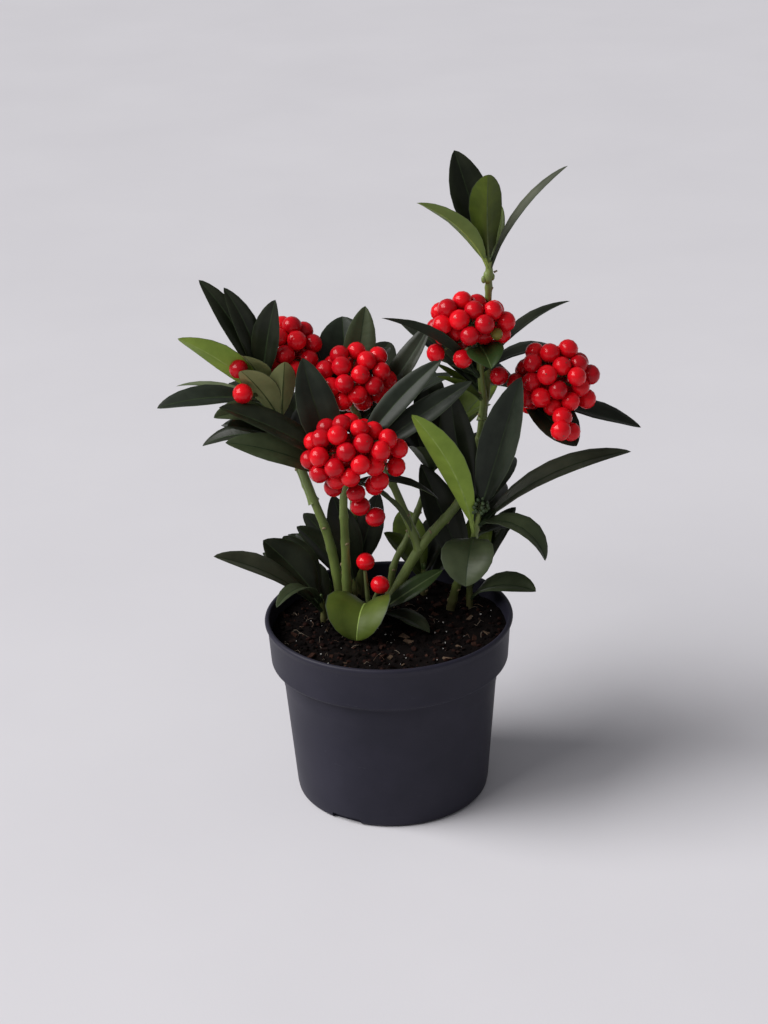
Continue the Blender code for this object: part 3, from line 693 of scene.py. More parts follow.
# %% Rows of shoots
# One leaf: its place along the shoot, compass heading, rise of its chord, length, width, how far it bends
# downwards from root to tip, its roll about the midrib and the lift of its two halves; angles in degrees,
# heading 0 along +X
Leaf = namedtuple("Leaf", "at heading rise length width droop roll fold", defaults=(20,))

# One truss of berries: its middle, its half sizes, how many berries, and the seed that turns it
Truss = namedtuple("Truss", "middle half count seed")

# One shoot: the limb it grows from the tip of, or None for the compost, its own points, its leaves,
# its trusses, and the filling leaves on the sides that are not listed: how many, from and to which
# heading, rise, length and width
Shoot = namedtuple("Shoot", "parent points leaves trusses fill")

SHOOTS = {
    "foliage_top": Shoot("bough_top", [(48, 13, 248), (48, 12, 251)], [
        Leaf(0.9, 145, 70, 51, 18, 12, -40),
        Leaf(0.7, -93, 64, 53, 18, 6, 8, 38),
        Leaf(0.45, -146, 44, 53, 12, 34, 22),
        Leaf(0.5, 5, 52, 56, 9, 34, 5),
    ], [], (1, 60, 100, 62, 36, 11)),
    "foliage_crown": Shoot("stem_right", [(44, 11, 196), (43, 10, 213)], [
        Leaf(0.69, -154, 37, 61, 13, 30, 20),
        Leaf(0.69, 134, 8, 34, 11, 20, -10),
        Leaf(0.75, 25, 29, 52, 10, 40, -5),
        Leaf(1.0, -80, -5, 25, 17, 30, 10),
        Leaf(0.75, 35, -2, 49, 13, 40, 0),
        Leaf(0.4, 138, 27, 56, 13, 36, -10),
        Leaf(0.2, -172, 42, 30, 8, 10, 30),
        Leaf(0.3, -150, 34, 30, 9, 20, 20),
    ], [Truss((39, 7, 222), (14, 11, 11), 17, 3)], (4, 50, 105, 8, 48, 15)),
    "foliage_right": Shoot("bough_right", [(64, 13, 187), (68, 13, 189)], [
        Leaf(0.5, 5, -19, 57, 15, 8, 15),
        Leaf(0.25, -38, -29, 35, 21, 10, 20),
        Leaf(0.6, 75, -8, 50, 15, 26, 0),
        Leaf(0.6, 125, 4, 46, 14, 26, 0),
    ], [Truss((76, 10, 195), (15, 12, 13), 20, 5), Truss((78.5, -8, 179.5), (0.5, 2, 7), 3, 2),
        Truss((51, 4, 200), (1, 1, 1), 1, 1)],
        (1, 150, 175, -10, 44, 13)),
    "foliage_far_right": Shoot("stem_far_right", [(40, 1, 126), (42, 1, 136)], [
        Leaf(0.9, -10, 74, 72, 22, 8, 80, 38),
        Leaf(0.8, 171, 80, 67, 17, 4, -76),
        Leaf(0.6, -148, 64, 74, 14, 20, 50),
        Leaf(0.75, 7, 24, 78, 13, 38, 18),
        Leaf(0.8, -20, -23, 35, 13, 110, 14),
        Leaf(0.6, 35, -14, 34, 13, 50, 0),
        Leaf(0.55, -102, -27, 28, 25, 90, 0),
    ], [], (3, 50, 120, 25, 50, 15)),
    "foliage_left": Shoot("stem_left", [(-45, 15, 176), (-54, 17, 191)], [
        Leaf(0.9, 165, 62, 63, 12, 42, -50),
        Leaf(1.0, 170, 73, 51, 11, 28, -62),
        Leaf(1.0, -31, 78, 46, 14, 20, 95),
        Leaf(0.8, -158, 44, 60, 15, 22, 52),
        Leaf(0.8, 149, 3, 54, 6, 40, -5),
        Leaf(0.9, -170, 2, 50, 13, 36, -25),
        Leaf(0.6, -152, 22, 38, 13, 56, -30),
        Leaf(0.7, -130, 52, 40, 15, 20, 30),
        Leaf(0.7, -73, 71, 34, 14, 0, 0),
        Leaf(0.9, -120, 56, 34, 13, 40, 0),
    ], [Truss((-42, 28, 205), (13, 12, 13), 16, 7), Truss((-60, 5, 206), (1, 1, 1), 1, 4),
        Truss((-59.5, 3, 195), (1, 1, 1), 1, 4)],
        (4, 40, 140, 20, 50, 15)),
    "foliage_lower_left": Shoot("bough_left", [(-44, 23, 163), (-46, 24, 166)], [
        Leaf(0.5, -152, 28, 34, 16, 30, -20),
        Leaf(0.9, 165, -9, 40, 11, 50, -20),
    ], [], (3, 60, 150, 10, 46, 14)),
    "foliage_centre": Shoot("bough_centre", [(-14, 22, 182), (-17, 22, 190)], [
        Leaf(0.8, 96, 56, 38, 26, 10, 0),
        Leaf(0.7, 58, 71, 44, 15, 0, 30),
        Leaf(0.3, 9, 53, 56, 12, -10, 40),
        Leaf(0.8, 61, 32, 32, 10, 20, 20),
        Leaf(0.8, 136, 47, 30, 14, 10, 0),
    ], [Truss((-13, 17, 196), (14, 12, 11), 18, 1)], (3, 30, 120, 8, 44, 15)),
    "foliage_front": Shoot("stem_middle", [(-16, -5, 159), (-15, -9, 166)], [
        Leaf(0.5, 154, 70, 59, 19, -6, -50),
        Leaf(0.4, -174, 24, 58, 16, 34, -35),
        Leaf(0.7, 178, 30, 65, 17, 30, -20),
        Leaf(0.9, 8, 33, 66, 12, 10, 50),
        Leaf(0.4, 7, -15, 43, 9, 50, 0),
        Leaf(0.5, 23, -46, 44, 10, 50, 0),
        Leaf(0.95, 12, 47, 62, 12, 10, 50),
    ], [Truss((-14, -13, 172), (19, 12, 13), 26, 4), Truss((-13, -14, 156), (13, 3, 2), 3, 0),
        Truss((-12, -14, 147), (1, 1, 1), 1, 1), Truss((-7, -15, 142), (1, 1, 1), 1, 1)],
        (0, 0, 0, 0, 0, 0)),
    "foliage_back": Shoot("stem_back", [(-12, 48, 162), (-12, 50, 170)], [], [
        Truss((-14, 46, 182), (12, 10, 8), 6, 6),
    ], (9, 10, 170, 25, 52, 17)),
    "foliage_back_right": Shoot("stem_back_right", [(22, 36, 144), (24, 38, 150)], [
        Leaf(0.5, -110, 45, 30, 14, 20, 0),
    ], [], (6, -20, 150, 35, 52, 17)),
    "foliage_foot_left": Shoot(None, [(-30, 8, SOIL), (-30, 8, 85), (-31, 8, 91)], [
        Leaf(0.5, -157, 37, 65, 15, 30, -25),
        Leaf(0.8, 167, 49, 41, 20, 10, -40),
        Leaf(0.9, 134, 47, 36, 18, 10, -14),
        Leaf(0.9, -125, 19, 36, 9, 90, 0),
        Leaf(0.8, 137, 22, 41, 13, 20, 0),
    ], [], (2, 60, 110, 20, 40, 16)),
    "foliage_foot_back": Shoot(None, [(-16, 28, SOIL), (-16, 29, 86), (-16, 30, 92)], [
        Leaf(0.5, 173, 80, 49, 16, 6, -80),
        Leaf(0.95, 6, 73, 45, 14, 6, 80),
    ], [], (4, 60, 150, 35, 45, 16)),
    "foliage_foot_front": Shoot(None, [(-9, 10, SOIL), (-9, 10, 82), (-9, 10, 85)], [
        Leaf(1.0, -104, -10, 25, 34, 140, 0, 30),
    ], [Truss((-10.6, 6, 110.4), (1, 1, 1), 1, 1), Truss((-3.6, 2, 100.4), (1, 1, 1), 1, 2)],
        (0, 0, 0, 0, 0, 0)),
    "foliage_foot_middle": Shoot(None, [(-5, 7, SOIL), (-5, 7, 84), (-4, 7, 88)], [
        Leaf(0.5, 12, 30, 36, 9, 20, 40),
    ], [], (1, -60, -20, 10, 30, 13)),
    "foliage_foot_centre": Shoot(None, [(17, 35, SOIL), (17, 35, 86), (17, 36, 92)], [
        Leaf(0.6, 172, 52, 30, 13, 20, -20),
    ], [], (3, 30, 110, 30, 44, 15)),
    "foliage_foot_right": Shoot(None, [(38, 20, SOIL), (38, 20, 86), (38, 20, 93)], [
        Leaf(0.3, -38, 21, 40, 15, 60, 20),
        Leaf(0.8, 155, 68, 63, 18, 10, -50),
    ], [], (4, 20, 110, 35, 45, 16)),
}

print(f"{sum(len(shoot.leaves) for shoot in SHOOTS.values())} leaves are listed on {len(SHOOTS)} shoots")

# %% [markdown]
# A curve through a limb's points bends evenly if each stretch is a Catmull-Rom span, whose slope at a point
# comes from the points on either side. A plant's stem leaves the soil straight up, so its first step is made
# vertical.

# %% Curves
def smooth_path(points, per_span=3):
    """A Catmull-Rom curve through the given points."""
    knots = [Vector(p) for p in points]
    knots = [2 * knots[0] - knots[1]] + knots + [2 * knots[-1] - knots[-2]]
    path = []
    for a, b, c, d in zip(knots, knots[1:], knots[2:], knots[3:]):
        for step in range(per_span):
            t = step / per_span
            path.append(0.5 * (2 * b + (c - a) * t + (2 * a - 5 * b + 4 * c - d) * t * t
                               + (3 * b - a - 3 * c + d) * t ** 3))
    return path + [knots[-2]]


def stand_upright(path):
    """Makes a path's first step vertical, so that the limb's foot is cut level."""
    path[1] = Vector((path[0].x, path[0].y, path[1].z))
    return path


def shoot_path(shoot):
    """A shoot's own stem: from just past its limb's tip, or from the compost, through its points."""
    if shoot.parent is None:
        return stand_upright(smooth_path(shoot.points, 2))
    limb = smooth_path(LIMBS[shoot.parent].points)
    ahead = (limb[-1] - limb[-2]).normalized()
    start = limb[-1] + ahead * GAP
    return [start, start + ahead * 1.5] + [Vector(p) for p in shoot.points]


def point_on(path, share):
    """The point at a share of the way along a list of points."""
    place = share * (len(path) - 1)
    index = min(int(place), len(path) - 2)
    return path[index].lerp(path[index + 1], place - index)


paths = {name: shoot_path(shoot) for name, shoot in SHOOTS.items()}
print(f"{len(LIMBS)} limbs and {len(paths)} shoots")

# %% [markdown]
# A leaf is described by a moving frame: the midrib's point at each share of its length, with the directions
# along it, across it and up from it. The same frame serves the coarse blade that tests for room and the fine
# one that is shown. Half the blade's width is a thin stalk first, and then a lance-shaped swell.

# %% Leaf frame
STALK_SHARE = 0.12
STALK_HALF = 1.1


def leaf_half_width(t, width):
    """Half the blade's width at a share t of its length."""
    if t <= STALK_SHARE:
        return STALK_HALF
    blade = (t - STALK_SHARE) / (1 - STALK_SHARE)
    return STALK_HALF * (1 - blade) ** 2 + width / 2 * math.sin(math.pi * blade ** 1.12) ** 0.7


def leaf_frame(leaf, root, t):
    """The midrib's point at a share t of the leaf's length, with the directions across and up from it."""
    bend = math.radians(leaf.droop)
    start = math.radians(leaf.rise) + bend / 2
    out = Vector((math.cos(math.radians(leaf.heading)), math.sin(math.radians(leaf.heading)), 0))
    if abs(bend) < 1e-6:
        reach, lift, chord = t * math.cos(start), t * math.sin(start), 1.0
    else:
        reach = (math.sin(start) - math.sin(start - bend * t)) / bend
        lift = (math.cos(start - bend * t) - math.cos(start)) / bend
        chord = math.sin(bend / 2) / (bend / 2)
    point = root + (out * reach + Vector((0, 0, lift))) * leaf.length / chord
    angle = start - bend * t
    along = out * math.cos(angle) + Vector((0, 0, math.sin(angle)))
    across = Matrix.Rotation(math.radians(leaf.roll), 3, along) @ Vector((out.y, -out.x, 0))
    return point, across, across.cross(along)


print(f"a leaf 16 mm wide measures {2 * leaf_half_width(0.5, 16):.1f} mm in its middle")

# %% [markdown]
# Room is tested with coarse solids. A leaf is a bent bar of four sides, a berry is a ball of twenty faces and
# a stretch of limb is a straight twig. They are only compared, and never shown.

# %% Plain solids for testing room
LEAF_THICK = 1.1
LEAF_STATIONS = (0.0, 0.12, 0.32, 0.56, 0.8, 1.0)
BERRY_RADIUS = 4.4


def leaf_solid(leaf, root, extra=0.0, start=0.0):
    """A folded, bent blade from a share of its length outwards. The bar's corners become the two margins and
    the upper and lower side of the midrib. Extra is added all round."""
    stations = [t for t in LEAF_STATIONS if t >= start]
    shape, rings = bar(4, len(stations))
    for vert, ring in zip(shape.verts, rings):
        t = stations[ring]
        point, across, up = leaf_frame(leaf, root, t)
        half = leaf_half_width(t, leaf.width) if t < 1 else 0.0
        thick = LEAF_THICK * (1.5 - t) if t < 1 else 0.0
        fold = math.radians(leaf.fold) * min(1.0, t / 0.3)
        if abs(vert.co.x) > 0.5:
            side = math.copysign(half + extra, vert.co.x)
            vert.co = point + across * side * math.cos(fold) + up * abs(side) * math.sin(fold)
        else:
            vert.co = point + up * math.copysign(thick / 2 + extra, vert.co.y)
    return closed(shape)


def berry_solid(middle, seed, extra=0.0):
    """A ball of twenty faces, turned by its seed."""
    shape = bmesh.new()
    bmesh.ops.create_icosphere(shape, subdivisions=1, radius=BERRY_RADIUS * 1.05 + extra)
    turn = Matrix.Rotation(seed * 2.4, 3, "Z") @ Matrix.Rotation(seed * 1.7, 3, "X")
    return set_down(shape, middle, turn)


def twig_solid(start, end, radius, sides):
    """A straight tapering twig between two points."""
    span = end - start
    shape = bmesh.new()
    bmesh.ops.create_cone(shape, cap_ends=True, segments=sides, radius1=radius * 1.15,
                          radius2=radius * 0.85, depth=span.length)
    return set_down(shape, (start + end) / 2, span.to_track_quat("Z", "Y").to_matrix())


print(f"a test leaf has {len(LEAF_STATIONS)} rings of corners")

# %% [markdown]
# Everything that stands is noted with a search tree of its faces and the box round it. A newcomer is compared
# by its box first, which is quick, and by its faces only where the boxes meet.

# %% What stands already
TWIG_RADIUS = 2.0

standing = []  # the owner, kind, tree and box of each solid


def box_of(shape):
    """The lowest and highest place of a shape along each axis."""
    return [(min(v.co[i] for v in shape.verts), max(v.co[i] for v in shape.verts)) for i in range(3)]


def stand(owner, kind, shape):
    """Notes a solid as placed."""
    standing.append((owner, kind, BVHTree.FromBMesh(shape), box_of(shape)))
    shape.free()


def touches(owner, shape, own_kinds=()):
    """Whether a solid meets one of another owner, or one of its own owner's of the kinds named."""
    tree, box = BVHTree.FromBMesh(shape), box_of(shape)
    shape.free()
    for other, kind, other_tree, other_box in standing:
        if other == owner and kind not in own_kinds:
            continue
        boxes_meet = all(a[0] <= b[1] and b[0] <= a[1] for a, b in zip(box, other_box))
        if boxes_meet and tree.overlap(other_tree):
            return True
    return False


for name, limb in LIMBS.items():
    path = smooth_path(limb.points)
    for index, (a, b) in enumerate(zip(path, path[1:])):
        radius = limb.foot + (limb.tip - limb.foot) * index / len(path)
        stand(name, "limb", twig_solid(a, b, radius, 8))
for name, path in paths.items():
    for a, b in zip(path, path[1:]):
        stand(name, "stem", twig_solid(a, b, TWIG_RADIUS, 6))
print(f"{len(standing)} stretches of limb and shoot stand")

# %% [markdown]
# The listed leaves take their places first. Each keeps a little room from limbs and from other shoots, and
# its outer half keeps off its sisters. One that has no room is turned by small steps until it has.

# %% Listed leaves
CLEAR = 0.45  # room kept between pieces of different shoots
BLADE_FROM = 0.5  # from this share outwards a leaf keeps off its sisters
NUDGES = [(0, 0), *((turn, lift) for turn in (4, -4, 9, -9, 15, -15) for lift in (0, 5, -5)),
          (0, 8), (0, -8)]  # how far a leaf is turned and lifted, in degrees

plan = {name: {"leaves": [], "berries": []} for name in SHOOTS}


def place_leaf(name, leaf, nudges, number=None):
    """Puts a leaf on its shoot, turned by the first nudge that gives it room, if there is one."""
    root = point_on(paths[name], leaf.at)
    for turn, lift in nudges:
        tried = leaf._replace(heading=leaf.heading + turn, rise=leaf.rise + lift)
        if touches(name, leaf_solid(tried, root, CLEAR)):
            continue
        if touches(name, leaf_solid(tried, root, CLEAR, BLADE_FROM), ("leaf", "berry")):
            continue
        stand(name, "leaf", leaf_solid(tried, root, 0.0, BLADE_FROM))
        stand(name, "root", leaf_solid(tried, root))
        plan[name]["leaves"].append((tried, root, number))
        return True
    return False


for name, shoot in SHOOTS.items():
    for number, leaf in enumerate(shoot.leaves):
        if not place_leaf(name, leaf, NUDGES, number):
            print(f"{name}: listed leaf {number} finds no room")
print(f"{sum(len(placed['leaves']) for placed in plan.values())} listed leaves")

# %% [markdown]
# A truss of berries is an egg of points, set by the golden angle from its crown downwards and pushed apart
# until neighbours hardly press on each other.

# %% Places in a truss
GOLDEN = 137.508
TRUSS_REACH = 1.75  # how far down a truss goes from its crown, against half its height
PUSHES = 40


def truss_sites(truss):
    """Berry middles over an egg-shaped truss, from its crown down to below its waist."""
    chance = random.Random(truss.seed)
    sites = []
    for index in range(truss.count):
        height = 1 - TRUSS_REACH * (index + 0.5) / truss.count
        ring = math.sqrt(max(0.0, 1 - height * height))
        angle = math.radians(GOLDEN * index + 47 * truss.seed)
        wobble = Vector([chance.uniform(-0.08, 0.08) for _ in range(3)])
        site = Vector((ring * math.cos(angle), ring * math.sin(angle), height)) + wobble
        sites.append(site * Vector(truss.half))
    for _ in range(PUSHES):
        for i, one in enumerate(sites):
            for other in sites[i + 1:]:
                apart = one - other
                short = 2 * BERRY_RADIUS * 1.01 - apart.length
                if short > 0:
                    push = apart.normalized() * short * 0.25
                    one += push
                    other -= push
    return [Vector(truss.middle) + site for site in sites]


asked = sum(truss.count for shoot in SHOOTS.values() for truss in shoot.trusses)
print(f"{asked} berries are asked for")

# %% [markdown]
# A berry that meets a leaf is tried at spots further and further from its place. One that finds no room in
# about six millimetres is left out.

# %% Berries
SHIFT_RINGS = [(eighth * math.pi / 4, rise) for rise in (0, 0.8, -0.8) for eighth in (0, 2, 4, 6, 1, 3, 5, 7)]
SHIFTS = [Vector((0, 0, 0))] + [Vector((math.cos(angle), math.sin(angle), rise)) * step
                                for step in (1.6, 3.2, 4.8) for angle, rise in SHIFT_RINGS]


def berry_fits(name, spot, index):
    """Whether a berry keeps clear of leaves and other shoots, and doesn't meet its sisters."""
    if touches(name, berry_solid(spot, index, CLEAR), ("leaf",)):
        return False
    return not touches(name, berry_solid(spot, index), ("leaf", "berry"))


for name, shoot in SHOOTS.items():
    for truss in shoot.trusses:
        for index, site in enumerate(truss_sites(truss)):
            spot = next((site + shift for shift in SHIFTS if berry_fits(name, site + shift, index)), None)
            if spot is not None:
                stand(name, "berry", berry_solid(spot, index))
                plan[name]["berries"].append((spot, index, truss))
print(f"room for {sum(len(placed['berries']) for placed in plan.values())} berries")

# %% [markdown]
# Leaves at the golden angle fill what the rows leave open. Each shoot's own dice bend and turn them a
# little, and a shoot stops when it has as many as its row asks for, or when its tries are used up.

# %% Filling leaves
FILL_TRIES = 12  # for each leaf wanted
FILL_NUDGES = [(0, 0), (8, 0), (-8, 0)]

for name, shoot in SHOOTS.items():
    count, first, last, rise, length, width = shoot.fill
    chance = random.Random(name)
    placed = 0
    for index in range(FILL_TRIES * count):
        if placed == count:
            break
        share = (index * GOLDEN / 360 + 0.17) % 1.0
        leaf = Leaf(0.25 + 0.7 * chance.random(), first + (last - first) * share,
                    rise + chance.uniform(-18, 18), length * chance.uniform(0.8, 1.05),
                    width * chance.uniform(0.85, 1.1), chance.uniform(15, 40), chance.uniform(-12, 12))
        placed += place_leaf(name, leaf, FILL_NUDGES)
print(f"{sum(len(placed['leaves']) for placed in plan.values())} leaves in all")

# %% [markdown]
# ## Stems and boughs
#
# Young skimmia wood is smooth and green. It is not quite round: faint ridges run along it, it swells a little
# at each old joint, and every fallen leaf leaves a pale crescent scar there. The bark turns brown near the
# soil and has small corky specks. Both are veils over the green: one is read from the height, and the other
# from the cells of a Voronoi pattern.

# %% Bark finishes
WOOD_BROWN = (0.055, 0.036, 0.018)
CORK = (0.17, 0.13, 0.06)


def green_bark(name, dark, light):
    """Green bark that turns brown near the soil, with small corky specks."""
    made = finish(name, dark, light, 0.48, 170.0, 2200.0, 0.00012, (1.0, 1.0, 0.3))
    tree = made.node_tree
    specks = node(tree, "ShaderNodeTexVoronoi", Scale=700.0)
    tree.links.new(place_of(tree, (1.0, 1.0, 0.45)), specks.inputs["Vector"])
    veil(made, grey_ramp(tree, specks.outputs["Distance"], (0.10, 0.7), (0.17, 0.0)), CORK)
    height = node(tree, "ShaderNodeSeparateXYZ")
    tree.links.new(place_of(tree), height.inputs["Vector"])
    veil(made, grey_ramp(tree, height.outputs["Z"], (0.080, 0.85), (0.098, 0.0)), WOOD_BROWN)
    return made


stem_bark = green_bark("green_bark", (0.085, 0.120, 0.026), (0.165, 0.220, 0.054))
scar_skin = finish("leaf_scar", (0.16, 0.12, 0.06), (0.26, 0.20, 0.11), 0.7, 500.0, 2600.0, 0.0001)
print("green bark and leaf scars")

# %% [markdown]
# A scar is a small flattened ball, bent into a crescent and laid on the bark.

# %% Leaf scars
SCAR_SIZE, SCAR_BEND = (1.15, 0.55, 0.38), 0.45


def scar(middle, outward, along):
    """A pale crescent pressed against the bark."""
    shape = bmesh.new()
    bmesh.ops.create_uvsphere(shape, u_segments=10, v_segments=5, radius=1)
    bmesh.ops.scale(shape, vec=SCAR_SIZE, verts=shape.verts)
    for vert in shape.verts:
        vert.co.y -= SCAR_BEND * vert.co.x ** 2
    turn = Matrix((along.cross(outward).normalized(), along, outward)).transposed()
    return paint(set_down(shape, middle, turn), 1)


print(f"leaf scars are {2 * SCAR_SIZE[0]:.1f} mm wide")

# %% [markdown]
# The ridges and swellings are pushed out of the mesh itself, so that they show in the outline too. Each
# bough has a small collar where it leaves its stem. Every joint gets a scar, a golden angle further round
# than the last, as the leaves once stood.

# %% A limb with ridges, joints and scars
JOINT_STEP = 13.0  # from joint to joint, on average
JOINT_SWELL, JOINT_LENGTH = 0.30, 1.2
RIDGE = 0.11
COLLAR_SWELL, COLLAR_REACH = 0.9, 3.0


def barked(name, path, foot, tip, collar, sides=14):
    """A limb with relief, and its scars, as one list of shapes."""
    chance = random.Random(name)
    run = [0.0]
    for a, b in zip(path, path[1:]):
        run.append(run[-1] + (b - a).length)
    joints = []
    place = chance.uniform(6, 12)
    while place < run[-1] - 2:
        joints.append(place)
        place += JOINT_STEP * chance.uniform(0.6, 1.3)
    drift = Vector([chance.uniform(0, 50) for _ in range(3)])

    def relief(share, outward):
        distance = run[round(share * (len(path) - 1))]
        ridge = RIDGE * noise.noise(outward * 1.6 + Vector((0, 0, distance * 0.12)) + drift)
        swell = sum(JOINT_SWELL * math.exp(-((distance - j) / JOINT_LENGTH) ** 2) for j in joints)
        return ridge + swell + (COLLAR_SWELL * math.exp(-distance / COLLAR_REACH) if collar else 0.0)

    radii = [foot + (tip - foot) * distance / run[-1] for distance in run]
    shapes = [paint(swept(path, radii, sides, relief), 0)]
    for index, joint in enumerate(joints):
        at = min(range(len(run)), key=lambda i: abs(run[i] - joint))
        along = (path[min(at + 1, len(path) - 1)] - path[at - 1]).normalized()
        side = along.orthogonal().normalized()
        outward = Matrix.Rotation(math.radians(GOLDEN * index) + drift.x, 3, along) @ side
        shapes.append(scar(path[at] + outward * (radii[at] + 0.2), outward, along))
    return shapes


print(f"joints stand about {JOINT_STEP:.0f} mm apart")

# %% [markdown]
# Each limb becomes a piece of its own. A stem's foot goes a few millimetres into the soil, so that no gap
# shows under it.

# %% All limbs
BURIED = 4.0  # how far a stem's foot goes into the soil

for name, limb in LIMBS.items():
    path = smooth_path(limb.points, 14)
    if limb.parent is None:
        path = [path[0] - Vector((0, 0, BURIED)), path[0] - Vector((0, 0, 1))] + stand_upright(path)
    shapes = barked(name, path, limb.foot, limb.tip, limb.parent is not None)
    make_piece(name + "_bark", join(shapes), [stem_bark, scar_skin], [name])

# %% [markdown]
# ## Shoots
#
# Above the last joint a limb becomes a fresh green shoot that carries the leaves. It starts just inside the
# limb, so that no gap shows. A shoot with no berries ends in a pointed resting bud wrapped in scales. The
# joint where the top shoot began is swollen, with a bump on either side and a dry stub of an old stalk.

# %% Shoots and buds
SHOOT_FOOT, SHOOT_TIP, SHOOT_OVERLAP = 1.85, 1.25, 1.2
BUD_SIZE = 1.5
SWOLLEN_JOINT = Vector((47.4, 13, 243.5))
SWELLINGS = (((0, 0, 0), (2.1, 2.0, 3.4)), ((-1.9, -0.8, -1.0), (1.1, 1.1, 1.8)),
             ((2.0, 0.4, -0.2), (1.1, 1.1, 1.8)))  # where each is from the joint, and its half sizes
STUB = (Vector((2.6, 0.5, 1.8)), Vector((4.2, 0.8, 2.4)))


def resting_bud(tip, along, size):
    """Three overlapping scales round a point."""
    shapes = []
    side = along.orthogonal().normalized()
    for number in range(3):
        out = Matrix.Rotation(number * math.tau / 3, 3, along) @ side
        turn = (along + out * 0.25).to_track_quat("Z", "Y").to_matrix()
        middle = tip + along * size * 0.8 + out * size * 0.25
        shapes.append(paint(lump(middle, (size * 0.5, size * 0.5, size * 1.3), turn, 2), 2))
    return shapes


shoot_shapes = [paint(lump(SWOLLEN_JOINT + Vector(at), size, None, 2), 0) for at, size in SWELLINGS]
shoot_shapes.append(paint(swept([SWOLLEN_JOINT + end for end in STUB], [0.5, 0.35], 6), 1))
for name, path in paths.items():
    ahead = (path[1] - path[0]).normalized()
    start = path[0] - ahead * (BURIED if SHOOTS[name].parent is None else SHOOT_OVERLAP)
    fine_path = smooth_path([start, path[0], *path[2:]], 5)
    shoot_shapes += barked(name, fine_path, SHOOT_FOOT, SHOOT_TIP, False, 12)
    if not SHOOTS[name].trusses:
        shoot_shapes += resting_bud(path[-1], (path[-1] - path[-2]).normalized(), BUD_SIZE)
fresh_bark = green_bark("fresh_green_bark", (0.100, 0.140, 0.026), (0.180, 0.235, 0.056))
bud_green = finish("bud_green", (0.045, 0.085, 0.022), (0.10, 0.16, 0.045), 0.4, 300.0, 2500.0, 0.00006)
make_piece("shoots", join(shoot_shapes), [fresh_bark, scar_skin, bud_green], list(SHOOTS))

# %% [markdown]
# ## Leaves
#
# A skimmia leaf is leathery and lance-shaped. Its upper side is a deep glossy green, its under side is paler
# and duller, a pale rib runs up the middle, and a thin light line edges it. Each leaf is dealt one of a few
# plain tones: old leaves are nearly black-green, the young ones at the top and near the soil are
# yellow-green, and a few have turned olive. Three kinds carry painted light and shade: the lit kind is a
# brighter green painted for a leaf in light, the shade kind is painted dark on its under side as well, for a
# leaf in shadow, and the blue kind is a dark green, greyed in part as a painted blue-grey sheen.

# %% Leaf tones
# The darker and the lighter tone of a skin, and its roughness
UPPER_TONES = {
    "dark": ((0.0070, 0.0095, 0.0048), (0.0210, 0.0255, 0.0140), 0.36),
    # painted sheen in part: a dark green greyed towards the blue-grey sheen of a glossy leaf
    "blue": ((0.0115, 0.0160, 0.0105), (0.0270, 0.0350, 0.0235), 0.42),
    "mid": ((0.0150, 0.0300, 0.0075), (0.0300, 0.0520, 0.0130), 0.38),
    "fern": ((0.0270, 0.0370, 0.0170), (0.0560, 0.0720, 0.0350), 0.42),
    "slate": ((0.0400, 0.0460, 0.0290), (0.0720, 0.0790, 0.0520), 0.42),
    "moss": ((0.0420, 0.0620, 0.0085), (0.0930, 0.1350, 0.0170), 0.42),
    "olive": ((0.120, 0.135, 0.050), (0.185, 0.200, 0.090), 0.46),
    "sage": ((0.0650, 0.0820, 0.0430), (0.1000, 0.1220, 0.0660), 0.46),
    # painted light: a brighter green for leaves in light
    "lit": ((0.100, 0.135, 0.024), (0.150, 0.190, 0.042), 0.44),
    "young": ((0.140, 0.210, 0.016), (0.200, 0.290, 0.032), 0.46),
    "spring": ((0.048, 0.073, 0.010), (0.082, 0.113, 0.018), 0.46),
}
UNDER_TONES = {
    "under_dim": ((0.040, 0.055, 0.024), (0.068, 0.090, 0.040), 0.60),
    # painted shade: a dark under side for leaves in shadow, where a real under side is paler
    "under_dark": ((0.010, 0.016, 0.010), (0.020, 0.029, 0.018), 0.50),
    "under_moss": ((0.030, 0.045, 0.006), (0.085, 0.122, 0.014), 0.55),
    "under_olive": ((0.085, 0.105, 0.034), (0.130, 0.155, 0.052), 0.58),
    "under_bright": ((0.105, 0.160, 0.040), (0.165, 0.235, 0.065), 0.52),
    "under_young": ((0.165, 0.250, 0.034), (0.265, 0.375, 0.058), 0.52),
    "under_pale": ((0.185, 0.210, 0.085), (0.280, 0.310, 0.135), 0.58),
}
EDGE_TONES = {
    "rib_dark": ((0.016, 0.026, 0.012), (0.030, 0.046, 0.020), 0.45),
    "rib_dim": ((0.045, 0.068, 0.022), (0.080, 0.110, 0.038), 0.5),
    "rib_bright": ((0.190, 0.275, 0.060), (0.300, 0.400, 0.100), 0.5),
    "margin_dark": ((0.018, 0.028, 0.013), (0.036, 0.052, 0.024), 0.45),
    "margin_grey": ((0.036, 0.048, 0.026), (0.060, 0.078, 0.044), 0.5),
    "margin_pale": ((0.100, 0.135, 0.050), (0.160, 0.205, 0.085), 0.5),
}
print(f"{len(UPPER_TONES)} tones for upper sides, {len(UNDER_TONES)} for under sides")

# %% [markdown]
# Each kind of leaf takes four of these tones: for its upper side, its under side, its rib and its margin.

# %% Kinds of leaf
KINDS = {
    "dark": "dark under_dim rib_dark margin_dark",
    # painted shade: dark on both sides, for leaves in shadow
    "shade": "dark under_dark rib_dark margin_dark",
    # painted sheen in part, as in its upper tone
    "blue": "blue under_dim rib_dark margin_grey",
    "mid": "mid under_dim rib_dim margin_dark",
    "fern": "fern under_dim rib_dark margin_grey",
    "slate": "slate under_dim rib_dark margin_dark",
    "moss": "moss under_moss rib_dim margin_dark",
    "olive": "olive under_pale rib_dim margin_grey",
    "sage": "sage under_olive rib_dim margin_grey",
    # painted light: a brighter green, rib, margin and under side for leaves in light
    "lit": "lit under_bright rib_bright margin_pale",
    "young": "young under_young rib_bright margin_pale",
    "spring": "spring under_olive rib_bright margin_grey",
}
print(f"{len(KINDS)} kinds of leaf")
